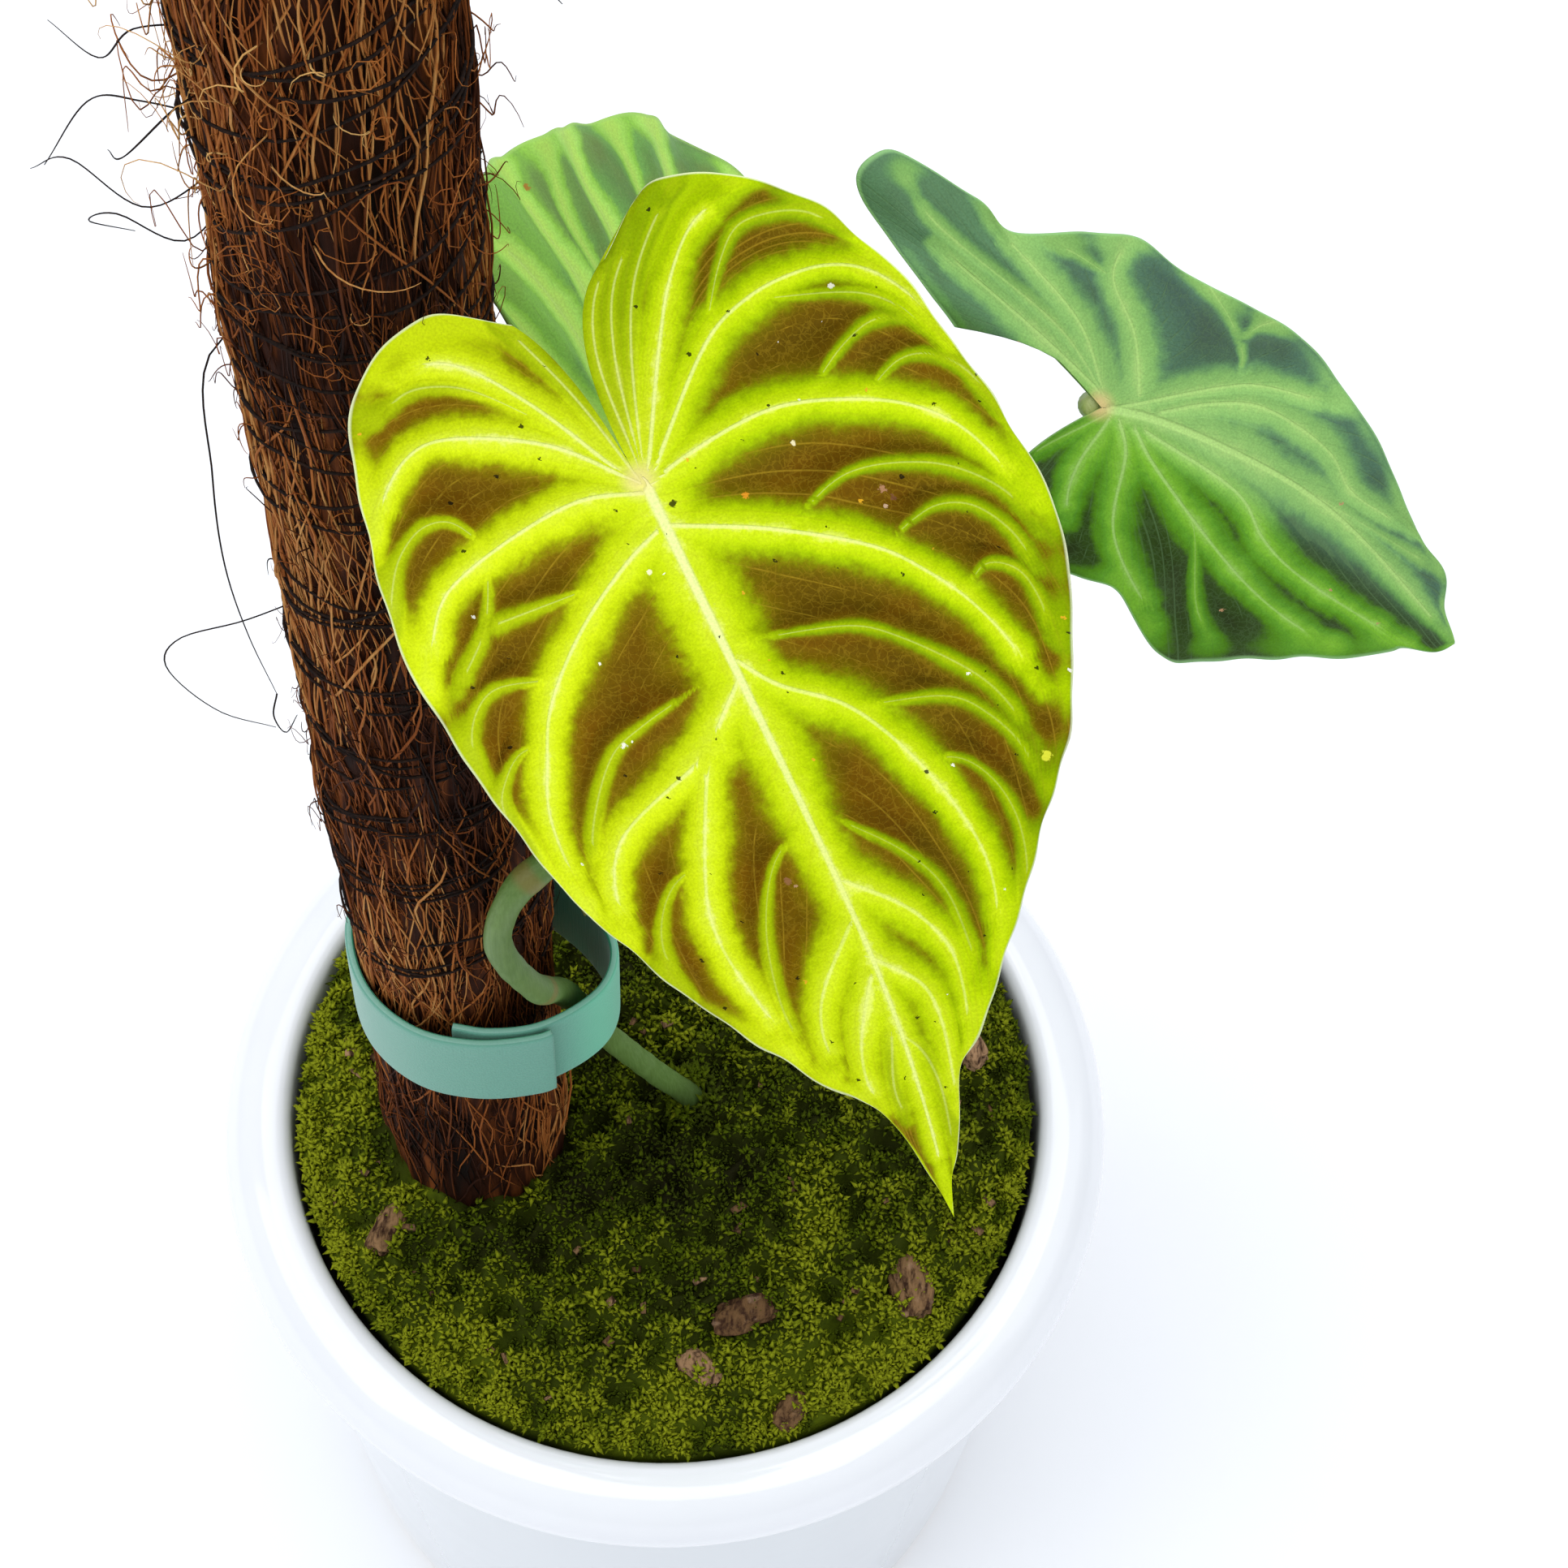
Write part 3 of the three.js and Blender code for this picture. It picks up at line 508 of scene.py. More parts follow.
def build_moss_shoots(sizes, finish):
    """Moss shoots: leaflets in two whorls on spots strewn over the bed. A leaflet is a thin keeled
    wedge of four faces: root, tip and two shoulders raised above the line between them."""
    rng = np.random.default_rng(21)
    count = sizes.moss_shoots
    radius = (MOUTH - 1.6) * np.sqrt((np.arange(count) + 0.5) / count)
    golden = np.arange(count) * math.pi * (3 - math.sqrt(5))
    spot = radius[:, None] * around(golden) + rng.normal(0, 0.45, (count, 2))
    foot = np.array(STEM_FOOT) + around(rng.uniform(0, TURN, FOOT_SHOOTS)) * rng.uniform(1.9, 4.6, (FOOT_SHOOTS, 1))
    brim = around(rng.uniform(0, TURN, BRIM_SHOOTS)) * rng.uniform(MOUTH - 4.5, MOUTH - 1.4, (BRIM_SHOOTS, 1))
    spot = np.vstack([spot, foot, brim])
    clear = (np.hypot(*(spot - pole_spot(145)).T) > 15.6) & (np.hypot(*(spot - [6, -3.8]).T) > 2)
    spot = spot[clear & (np.hypot(*spot.T) < MOUTH - 1.4)]
    count = len(spot)
    x, y = spot.T
    # Painted light and shade: shoots on the cushions' tops are brighter, those in the creases darker
    tone = np.clip(moss_tone_and_light(x, y) + 0.2 * moss_lumps(x, y) + rng.normal(0, 0.09, count), 0, 1)
    size = rng.uniform(0.75, 1.35, count) * (0.85 + 0.3 * tone)
    size *= 1 + 0.6 * ease(5.5, 3.5, np.hypot(x - STEM_FOOT[0], y - STEM_FOOT[1]))
    root = np.stack([x, y, moss_top(x, y) - 0.25], 1)[:, None, :]
    each = np.arange(LEAFLETS)
    low = each < 3
    rise = np.where(low, 26, 60) + rng.normal(0, 11, (count, LEAFLETS))
    step = np.where(low, TURN / 3, TURN / 2)
    turn = rng.uniform(0, TURN, (count, 1)) + step * each + rng.normal(0, 0.25, (count, LEAFLETS))
    rise = np.radians(np.clip(rise, 2, 85))
    along = np.stack([np.cos(turn) * np.cos(rise), np.sin(turn) * np.cos(rise), np.sin(rise)], -1)
    left = np.stack([-np.sin(turn), np.cos(turn), np.zeros_like(turn)], -1)
    up = np.cross(along, left)
    length = (size[:, None] * rng.uniform(0.85, 1.25, (count, LEAFLETS)))[..., None] * 1.45
    width = length * 0.2
    lift = np.where(low, 0.0, 0.35)[None, :, None] * size[:, None, None]
    base = root + np.array([0, 0, 1.0]) * lift
    tip = base + along * length - up * length * 0.12
    shoulder = base + along * length * 0.42 + up * width * 0.5
    wedge = np.stack([base, tip, shoulder + left * width, shoulder - left * width], axis=2)
    face = np.array([[0, 2, 1], [0, 1, 3], [0, 3, 2], [1, 2, 3]])
    for place, mine in (("near", y < NEAR_SIDE), ("far", y >= NEAR_SIDE)):
        points = wedge[mine].reshape(-1, 3)
        tris = face + np.arange(0, len(points), 4)[:, None, None]
        marks = {"tone": tone[mine], "tip": np.tile([0.0, 1.0, 0.55, 0.55], len(points) // 4)}
        new_piece(f"moss_shoots_{place}", (points, (), tris), finish, (), marks)


def moss_finish(colors):
    """Moss: dark brown-olive low down and in the creases, painted shade between the shoots and cushions, olive to
    yellow-green towards bright tips.
    """
    f = Finish("cushion_moss", Roughness=0.75, Specular_IOR_Level=0.06)
    share = f.plus(f.mark("tone"), f.sway(f.noise(f.place(), 700, 3), 0.3))
    deep = f.ramp(share, [(0.0, (26, 24, 8)), (0.5, (52, 62, 6)), (1.0, (98, 112, 10))])
    light = f.ramp(share, [(0.0, (62, 72, 14)), (0.45, colors.moss), (1.0, colors.moss_tip)])
    # Painted shade: darker towards each shoot's foot and on the bed
    color = f.mix(f.span(f.mark("tip"), 0.0, 0.8), deep, light)
    return f.finish(color, None, f.bump(f.noise(f.place(), 1600, 3), 0.0004, 0.5))


def chip_points(rows, sides, half, seed):
    """A blunt flake: a ball whose sides are squared by a power of its sine and cosine, split by
    steps of bark along its height, and worn by unevenness."""
    v = np.linspace(-math.pi / 2, math.pi / 2, rows)[:, None]
    u = TURN * np.arange(sides) / sides
    flat = np.stack([
        squared(np.cos(v), 0.6) * squared(np.cos(u), 0.75),
        squared(np.cos(v), 0.6) * squared(np.sin(u), 0.75),
        np.broadcast_to(squared(np.sin(v), 0.7), (rows, sides)),
    ], -1)
    flakes = 0.05 * np.sign(np.sin(7 * flat[..., 2] + 2 * flat[..., 0]))
    worn = 1 + 0.13 * ripple(flat * 3, seed, 5, 0.9) + flakes
    flat[..., :2] *= worn[..., None]
    flat[..., 2] *= 1 + 0.2 * ripple(flat * 3, seed + 50, 4, 1)
    return flat * np.array(half) * 0.93


def build_chips(sizes, colors):
    """Bark chips where the solids are, and crumbs of bark strewn over the moss."""
    rows, sides = 22, 34
    bark = bark_finish(colors)
    ring = np.arange(sides)
    for k, (x, y, long, wide, turn) in enumerate(BARK_CHIPS):
        flat = spun(chip_points(rows, sides, (long, wide, CHIP_HALF_HEIGHT), 30 + k), turn)
        flat += [x, y, float(moss_height(x, y)) + 0.6]
        points = np.vstack([flat[1:-1].reshape(-1, 3), flat[0].mean(0), flat[-1].mean(0)])
        quads = lattice(rows - 2, sides, wrap_columns=True)[:, ::-1]
        tris = caps(ring, (rows - 3) * sides + ring, len(points))
        marks = {"tone": [(k * 0.37) % 1]}
        new_piece(f"bark_flake_{k + 1}", (points, quads, tris), bark, [f"bark_chip_{k + 1}"], marks)
    build_crumbs(bark)


def build_crumbs(bark):
    """Crumbs on the moss: each a box of eight worn corners, turned at random."""
    rng = np.random.default_rng(5)
    count = 90
    radius = 61 * np.sqrt(rng.uniform(0.02, 1, count))
    spot = radius[:, None] * around(rng.uniform(0, TURN, count))
    spot = spot[np.hypot(*(spot - pole_spot(145)).T) > 17.5]
    (x, y), count = spot.T, len(spot)
    box = np.array([[i, j, k] for i in (-1, 1) for j in (-1, 1) for k in (-1, 1)], float)
    half = rng.uniform([0.5, 0.3, 0.22], [1.6, 0.85, 0.5], (count, 3))
    shape = box[None] * half[:, None] * rng.uniform(0.6, 1.1, (count, 8, 3))
    turned = spun(shape, rng.uniform(0, TURN, count)[:, None])
    points = (turned + np.stack([x, y, moss_top(x, y) + 0.35], 1)[:, None]).reshape(-1, 3)
    face = np.array([[0, 1, 3, 2], [4, 6, 7, 5], [0, 4, 5, 1], [2, 3, 7, 6], [0, 2, 6, 4], [1, 5, 7, 3]])
    quads = face + np.arange(0, len(points), 8)[:, None, None]
    new_piece("bark_crumbs", (points, quads, ()), bark, (), {"tone": rng.uniform(0, 1, count)})


def bark_finish(colors):
    """Bark: brown to pinkish tan by the chip, with fine dark fibres and pale worn edges."""
    f = Finish("pine_bark", Roughness=0.85, Specular_IOR_Level=0.1)
    grain = f.noise(f.place((900, 250, 1400)), 1, 5)
    base = f.ramp(f.mark("tone"), [(0.0, (106, 78, 50)), (0.5, colors.bark), (1.0, (172, 136, 102))])
    color = f.mix(f.span(grain, 0.35, 0.6), (52, 32, 22), base)
    color = f.mix(f.span(f.noise(f.place(), 380, 4), 0.55, 0.75, 0, 0.4), color, (184, 150, 122))
    return f.finish(color, None, f.bump(grain, 0.0006, 0.8))


# ---------------------------------------------------------------- pole

WIRY_HAIRS = [
    [(-47, -9, 436), (-54, -12, 440), (-60, -9, 436), (-66, -10, 441)],
    [(-46, -14, 428), (-53, -18, 431), (-58, -16, 424), (-63, -14, 427)],
    [(-47, -10, 408), (-55, -13, 414), (-62, -9, 409), (-68, -11, 400)],
    [(-47, -12, 404), (-56, -16, 400), (-64, -14, 405), (-70, -10, 398)],
    [(-47, -8, 396), (-53, -14, 392), (-60, -14, 396), (-65, -9, 388), (-61, -6, 383)],
    [(-46, -15, 420), (-49, -22, 424), (-55, -24, 418), (-58, -19, 413)],
    [(-46, -12, 378), (-52, -16, 374), (-54, -18, 352), (-55, -17, 330), (-54, -16, 312), (-52, -15, 296)],
    [(-46, -13, 318), (-54, -16, 316), (-63, -17, 312), (-66, -16, 303), (-60, -16, 292), (-53, -15, 287)],
    [(-52, -15, 296), (-53, -15, 290), (-52, -14, 284), (-50, -14, 289)],
    [(-19, -7, 438), (-12, -9, 443), (-7, -8, 438), (-9, -7, 432), (-15, -7, 434)],
    [(-18, -9, 430), (-12, -12, 433), (-9, -10, 440), (-13, -9, 444)],
    [(-18, -12, 444), (-13, -15, 440), (-10, -13, 433)],
]
TIE_ROUTE = [
    (-31, -26.9), (-25.5, -27.4), (-17.2, -25.6), (-8.7, -18.6), (-7.4, -12), (-11.4, -4.8), (-20, 2), (-30, 5.8),
    (-40, 4.1), (-46.6, -2), (-48.7, -10.7), (-45.1, -21.2), (-37, -27.8), (-27, -29.5), (-17.3, -27.7), (-15.8, -26.9),
]
TWINE_PITCH = 19.0
TWINE_BOTTOM = 228.0
TIE_HALF_THICK = 0.75


def lean(points):
    """The pole's lean: points turn about the Y direction, round the pole's axis at the tie's height."""
    home = np.array([*POLE, LEAN_HEIGHT])
    x, y, z = np.moveaxis(points - home, -1, 0)
    turned = [x * math.cos(LEAN) + z * math.sin(LEAN), y, z * math.cos(LEAN) - x * math.sin(LEAN)]
    return np.stack(turned, axis=-1) + home


def pole_spot(z):
    """Where the pole's axis is at a height."""
    return np.array([POLE[0] + math.tan(LEAN) * (z - LEAN_HEIGHT), POLE[1]])


def on_pole(angle, z, radius):
    """Points round the leaning pole."""
    x, y = POLE[0] + radius * np.cos(angle), POLE[1] + radius * np.sin(angle)
    return lean(np.stack([x, y, z + 0 * angle], axis=-1))


def held(z):
    """Share of a height where the coir is pressed flat: low in the moss and under the tie."""
    low = ease(MOSS_CROWN + 12, MOSS_CROWN + 6, z)
    tie = ease(TIE_BOTTOM - 9, TIE_BOTTOM - 4, z) * ease(TIE_TOP + 9, TIE_TOP + 4, z)
    return np.maximum(low, tie)


def coir_radius(angle, z):
    """The sleeve's radius: waves of three and five lobes that twist with height, and lumps, flat
    where the coir is held."""
    relief = 0.9 + (0.25 - 0.9) * held(z)
    mat = np.sin(3 * angle + 0.06 * z) + 0.7 * np.sin(5 * angle - 0.11 * z + 1.3)
    lumps = 0.6 * np.sin(0.23 * z + 2 * angle) + 0.5 * np.sin(9 * angle + 0.4)
    return SLEEVE_RADIUS + relief * (mat + lumps) / 2.8


def build_stake(sizes, colors):
    """Wooden stake: a round bar with a pointed foot and a small chamfer at its top."""
    top = POLE_TOP - 3
    profile = [(0, 50), (5, 50), (STAKE_RADIUS, 62), (STAKE_RADIUS, top - 1), (STAKE_RADIUS - 0.8, top), (0, top)]
    points, quads, tris = lathe(np.array(profile, float), 48)
    wood = grained("stake_wood", (122, 88, 56), colors.wood, (700, 700, 30), 1, 5, None, (0.0003, 0.5), Roughness=0.8)
    piece = new_piece("wooden_stake", (lean(points + [*POLE, 0]), quads, tris), wood, ["pole_stake"])
    piece.modifiers.new("edges", "BEVEL").width = 0.0004


def build_sleeve(sizes, colors):
    """Coir sleeve: the twisted, lumpy radius with ridges of fibre that run up the pole, closed over
    the top, down the bore and under."""
    sides, rows = 120, 210
    angle = TURN * np.arange(sides) / sides
    z = np.linspace(SLEEVE_BOTTOM, POLE_TOP, rows)[:, None]
    flat = np.stack(np.broadcast_arrays(6 * np.cos(angle), 6 * np.sin(angle), z / 16), -1)
    ridges = ripple(flat, 41, 5, 0.9) * (0.5 - 0.35 * held(z))
    outer = on_pole(angle, z, coir_radius(angle, z) - 0.25 + ridges)
    bore = STAKE_RADIUS + GAP
    closing = [on_pole(angle, end, radius) for end, radius in
               ((POLE_TOP, bore + 3), (POLE_TOP, bore), (SLEEVE_BOTTOM, bore))]
    points = np.concatenate([outer, closing]).reshape(-1, 3)
    quads = lattice(rows + 3, sides, wrap_rows=True, wrap_columns=True)[:, ::-1]
    # The core stays dark below the strands: painted shade in the gaps between fibres
    tone = np.append(0.26 + 0.14 * ripple(flat, 42, 3, 0.5), np.full(3 * sides, 0.2))
    new_piece("coir_core", (points, quads, ()), coir_finish(colors), ["coir_sleeve"], {"tone": tone})


def build_strands(sizes, colors):
    """Coir strands lying on the sleeve: each climbs from its own height with a drift that it shares
    with its neighbours, wavers, and lifts off a little between its ends."""
    rng = np.random.default_rng(43)
    count = sizes.coir_strands
    start = rng.uniform(0, TURN, count)
    bottom = rng.uniform(MOSS_CROWN - 6, POLE_TOP - 12, count)
    length = np.minimum(rng.uniform(14, 46, count), POLE_TOP - 1 - bottom)
    share = np.linspace(0, 1, 9)
    flow = np.stack([9 * np.cos(start), 9 * np.sin(start), bottom / 4], 1)
    drift = 0.16 * ripple(flow, 44, 30, 6) + rng.normal(0, 0.1, count)
    stray = rng.uniform(0, 1, count) < 0.16
    drift = np.where(stray, rng.normal(0, 0.6, count), drift)
    waver = rng.uniform(0.02, 0.09, (count, 1)) * np.sin(
        TURN * share * rng.uniform(0.5, 1.6, (count, 1)) + rng.uniform(0, TURN, (count, 1)))
    angle = start[:, None] + drift[:, None] * share * length[:, None] / 24 + waver
    z = bottom[:, None] + length[:, None] * share
    depth = rng.uniform(-0.2, 0.55, count)[:, None]
    lift = np.where(stray, 0.9, 0.35)[:, None] * rng.uniform(0.2, 1, (count, 1)) * np.sin(math.pi * share) ** 2
    radius = coir_radius(angle, z) + 0.08 + (depth + lift) * (0.25 + 0.75 * (1 - held(z)))
    thick = rng.uniform(0.10, 0.24, (count, 1)) * (1 - 0.75 * (2 * share - 1) ** 4)
    shape = bars(on_pole(angle, z, radius), thick, 3)
    # Strands lying deeper are darker: painted shade
    tone = 0.45 + 0.28 * ripple(flow, 45, 24, 5) + 0.15 * rng.normal(0, 1, count) + 0.3 * depth[:, 0]
    new_piece("coir_strands", shape, coir_finish(colors), (), {"tone": np.clip(tone, 0, 0.86)})


def curl_lines(rng, angle, z, length, reach, loops, stations):
    """Curly hairs: each leaves the sleeve at its root and runs on in a heading of its own, while
    a turning offset that widens with the share of its length makes its loops."""
    count = len(angle)
    share = np.linspace(0, 1, stations)[None, :, None]
    root = on_pole(angle, z, coir_radius(angle, z) - 0.3)
    out = np.stack([np.cos(angle), np.sin(angle), np.zeros(count)], 1)
    side = np.stack([-np.sin(angle), np.cos(angle), np.zeros(count)], 1)
    rise = np.tile([0.0, 0.0, 1.0], (count, 1))
    heading = unit(out * reach[:, None] + side * rng.normal(0, 0.8, (count, 1)) + rise * rng.normal(0, 0.8, (count, 1)))
    turn = TURN * loops[:, None, None] * share + rng.uniform(0, TURN, (count, 1, 1))
    wide = (length * rng.uniform(0.10, 0.26, count))[:, None, None] * np.sin(math.pi * share * 0.85) ** 0.8
    swing = wide * (np.cos(turn) * side[:, None] + np.sin(turn) * rise[:, None])
    swing -= swing[:, :1]
    bow = out[:, None] * (reach * length * 0.22)[:, None, None] * np.sin(math.pi * share)
    return root[:, None] + heading[:, None] * (length[:, None, None] * share * 0.62) + swing + bow


def keep_off(lines, least):
    """Pushes points of the lines that have sunk into the sleeve back out to just above it, apart
    from each line's first two."""
    z = lines[..., 2]
    off = lines - lean(np.stack([POLE[0] + 0 * z, POLE[1] + 0 * z, z], -1))
    off[..., 2] = 0
    need = coir_radius(np.arctan2(off[..., 1], off[..., 0]), z) + least
    push = np.maximum(need / np.maximum(np.linalg.norm(off, axis=-1), 1e-6), 1) - 1
    push[:, :2] = 0
    return lines + off * push[..., None]


def build_curls(sizes, colors):
    """Loose coir: short curls all over the pole and long golden ones near its top, most of them at
    the left."""
    rng = np.random.default_rng(46)
    count = sizes.coir_curls
    z = rng.uniform(MOSS_CROWN + 18, POLE_TOP - 10, count)
    z = np.where(np.abs(z - 210) < 18, z + 60, z)
    high = ease(340, 430, z)
    angle = rng.uniform(0, TURN, count)
    angle = np.where(rng.uniform(0, 1, count) < 0.5 * high, rng.normal(math.pi * 1.16, 0.6, count), angle)
    length = rng.uniform(3.5, 9, count) * (1 + 1.5 * high * rng.uniform(0.1, 1, count))
    reach = rng.uniform(0.05, 0.6, count) + 0.5 * high * rng.uniform(0, 1, count) ** 2
    share = np.linspace(0, 1, 13)
    lines = keep_off(curl_lines(rng, angle, z, length, reach, rng.uniform(0.4, 1.7, count), len(share)), 0.35)
    shape = bars(lines, rng.uniform(0.07, 0.14, (count, 1)) * (1 - 0.7 * share ** 2), 3)
    left = 0.5 - 0.5 * np.cos(angle - 0.16 * math.pi)
    tone = np.clip(0.36 + 0.16 * high + 0.36 * high * left + rng.normal(0, 0.14, count), 0, 1)
    new_piece("coir_curls", shape, coir_finish(colors), (), {"tone": tone})


def coir_finish(colors):
    """Coir: near-black brown in the gaps, painted shade between the fibres, through red-brown to golden
    fibre, with a fine grain along the pole."""
    f = Finish("coconut_coir", Roughness=0.8, Specular_IOR_Level=0.1)
    grain = f.noise(f.place((1500, 1500, 110)), 1, 4)
    color = f.ramp(f.plus(f.mark("tone"), f.sway(grain, 0.36)), [
        (0.0, (14, 6, 3)), (0.26, (54, 24, 9)), (0.55, colors.coir), (0.8, (172, 104, 48)), (1.0, colors.coir_gold),
    ])
    return f.finish(color, None, f.bump(grain, 0.0004, 0.6))


def build_wiry_hairs(sizes, colors):
    """Single dark hairs that stand off the pole, each a smooth line through its own few points."""
    lines = np.stack([through(corners, 30) for corners in WIRY_HAIRS])
    thick = 0.13 * (1 - 0.55 * np.linspace(0, 1, 31) ** 3) * np.ones((len(lines), 1))
    new_piece("wiry_hairs", bars(lines, thick, 4), twine_finish(colors))


def build_twine(sizes, colors):
    """Twine: several thin strands that follow one winding of even pitch, each straying up and down
    from it by its own slow unevenness, and lying on the coir."""
    top = POLE_TOP - 8.0
    share = np.linspace(0, 1, 520)
    turn = share * ((top - TWINE_BOTTOM) / TWINE_PITCH) * TURN
    lines = []
    for strand in range(sizes.twine_strands):
        rng = np.random.default_rng(60 + strand)
        stray = ripple(np.stack([share * 40, share * 0], 1), 61 + strand, 12, 1.4) * 6.5
        z = TWINE_BOTTOM + share * (top - TWINE_BOTTOM) + stray + rng.uniform(-8, 8)
        z = np.clip(z, TWINE_BOTTOM - 6, POLE_TOP - 2)
        lines.append(on_pole(turn + rng.uniform(-0.4, 0.4), z, coir_radius(turn, z) + 0.75))
    thick = np.full((len(lines), 1), sizes.twine_radius / MM) * (1 + 0.15 * np.sin(turn * 31))
    new_piece("black_twine", bars(np.stack(lines), thick, 5), twine_finish(colors), ["pole_twine"])


def twine_finish(colors):
    """Twine: near-black, slightly brown in patches, with a twisted fuzz."""
    return grained("black_twine", colors.twine, (46, 30, 22), cell=1800, turn=(0.35, 0.7), relief=(0.0003, 0.7),
                   Roughness=0.85, Specular_IOR_Level=0.12)


def build_tie(sizes, colors):
    """Tie strap: a flat section with rounded edges carried along the strap's route, so that each point
    is the route + across x sideways + height, and closed by a fan at both ends."""
    steps, sides = 260, 28
    route = through(TIE_ROUTE, steps)
    along = unit(np.gradient(route, axis=0))
    out = np.stack([along[:, 1], -along[:, 0]], 1)
    angle = TURN * (np.arange(sides) + 0.5) / sides
    sideways = TIE_HALF_THICK * squared(np.cos(angle), 0.35)
    height = (TIE_TOP - TIE_BOTTOM) / 2 * squared(np.sin(angle), 0.12)
    flat = route[:, None] + out[:, None] * sideways[:, None]
    z = np.broadcast_to((TIE_TOP + TIE_BOTTOM) / 2 + height, flat.shape[:2])
    grid = np.concatenate([flat, z[..., None]], -1)
    points = np.vstack([grid.reshape(-1, 3), grid[0].mean(0), grid[-1].mean(0)])

    def ringed(values, ends=(0, 0)):
        """Values for the points of every ring and for the middles of both ends."""
        return np.append(np.broadcast_to(values, (steps + 1, sides)), ends)

    sheet = np.stack([ringed(np.linspace(0, 1, steps + 1)[:, None], [0, 1]), ringed(angle / TURN)], 1)
    # bright marks painted light on the right-hand stretch; edge marks a painted highlight along the top and bottom rims
    marks = {"inner": ringed(np.cos(angle) < 0), "edge": ringed(np.abs(np.sin(angle)) ** 3),
             "bright": ringed(ease(-16, -8, grid[..., 0]))}
    ring = np.arange(sides)
    shape = points, lattice(steps + 1, sides, wrap_columns=True), caps(ring, steps * sides + ring, len(points), True)
    new_piece("mint_strap", shape, strap_finish(colors), ["tie_band"], marks, sheet)


def strap_finish(colors):
    """Strap: soft mint hook tape with a fine knit, a brighter right-hand stretch that is painted light, deeper green
    inside, and a painted highlight along its rims.
    """
    f = Finish("mint_tape", Roughness=0.5, Sheen_Weight=0.25, Sheen_Roughness=0.4)
    knit = f.noise(f.sheet((420, 30, 1)), 1, 3)
    face = f.mix(f.span(knit, 0.3, 0.7), np.multiply(colors.tie, 0.88), colors.tie)
    # Painted light: the right-hand stretch is brighter and greener
    face = f.mix(f.times(f.mark("bright"), 0.8), face, (110, 208, 168))
    color = f.mix(f.mark("inner"), face, colors.tie_inside)
    # Painted highlight: a paler line along the top and bottom rims
    color = f.mix(f.span(f.mark("edge"), 0.93, 1.0, 0, 0.5), color, (176, 222, 208))
    return f.finish(color, None, f.bump(knit, 0.00025, 0.5))


# ---------------------------------------------------------------- stem and stalks

STEM_PATH = [
    (12, -2.5, 104), (6, -3.8, 145), (-1.6, -5.8, 162), (-9.4, -7.9, 180), (-13, -12.6, 200), (-15.4, -18.4, 217),
    (-18.3, -24.4, 230), (-22.6, -28.2, 253), (-19.4, -26.2, 265), (-13.4, -22, 270), (-10, -19, 284),
    (-10.4, -18, 306),
]
ROOT_PATH = [(-12, -19.5, 276), (-10.4, -14.4, 262), (-11.2, -12.4, 246), (-11.8, -11.6, 230)]


def build_stem(sizes, colors):
    """Main stem: a bar along its path that swells at five joints, with its aerial root."""
    line = through(STEM_PATH, 260)
    t = np.linspace(0, 1, len(line))
    joint = np.maximum(0, np.cos(10 * math.pi * t))
    worn = (1 + 0.12 * joint ** 6) * (1 + 0.03 * ripple(line, 71, 9, 2)) * (1 - 0.55 * ease(0.985, 1, t))
    stem = bars(line[None], STEM_RADIUS * worn[None], 22)
    root_line = through(ROOT_PATH, 50)
    s = np.linspace(0, 1, len(root_line))
    root = bars(root_line[None], (ROOT_RADIUS * (1.1 - 0.5 * s) * (1 - 0.7 * ease(0.93, 1, s)))[None], 12)
    scars = np.concatenate([np.repeat(joint ** 40, 22), [0, 0], np.repeat(0.3 + 0.7 * s, 12), [0.3, 1]])
    new_piece("climbing_stem", join(stem, root), stem_finish(colors), ["main_stem"], {"joint": scars})


def stem_finish(colors):
    """Stem: pale waxy green, streaked along its length, with tan scars at the joints and darker where it
    comes out of the moss."""
    f = Finish("stem_skin", Roughness=0.45, Specular_IOR_Level=0.3)
    streak = f.noise(f.place((2200, 2200, 260)), 1, 4)
    green = f.mix(f.span(f.noise(f.place(), 60, 3), 0.35, 0.65), colors.stem, (96, 124, 58))
    green = f.mix(f.span(streak, 0.3, 0.75, 0, 0.7), green, (112, 142, 74))
    color = f.mix(f.span(f.mark("joint"), 0.15, 0.9, 0, 0.45), green, (150, 112, 58))
    color = f.mix(f.span(f.height(), 162, MOSS_CROWN - 1, 0, 0.75), color, (44, 58, 22))
    return f.finish(color, None, f.bump(streak, 0.0003, 0.4))


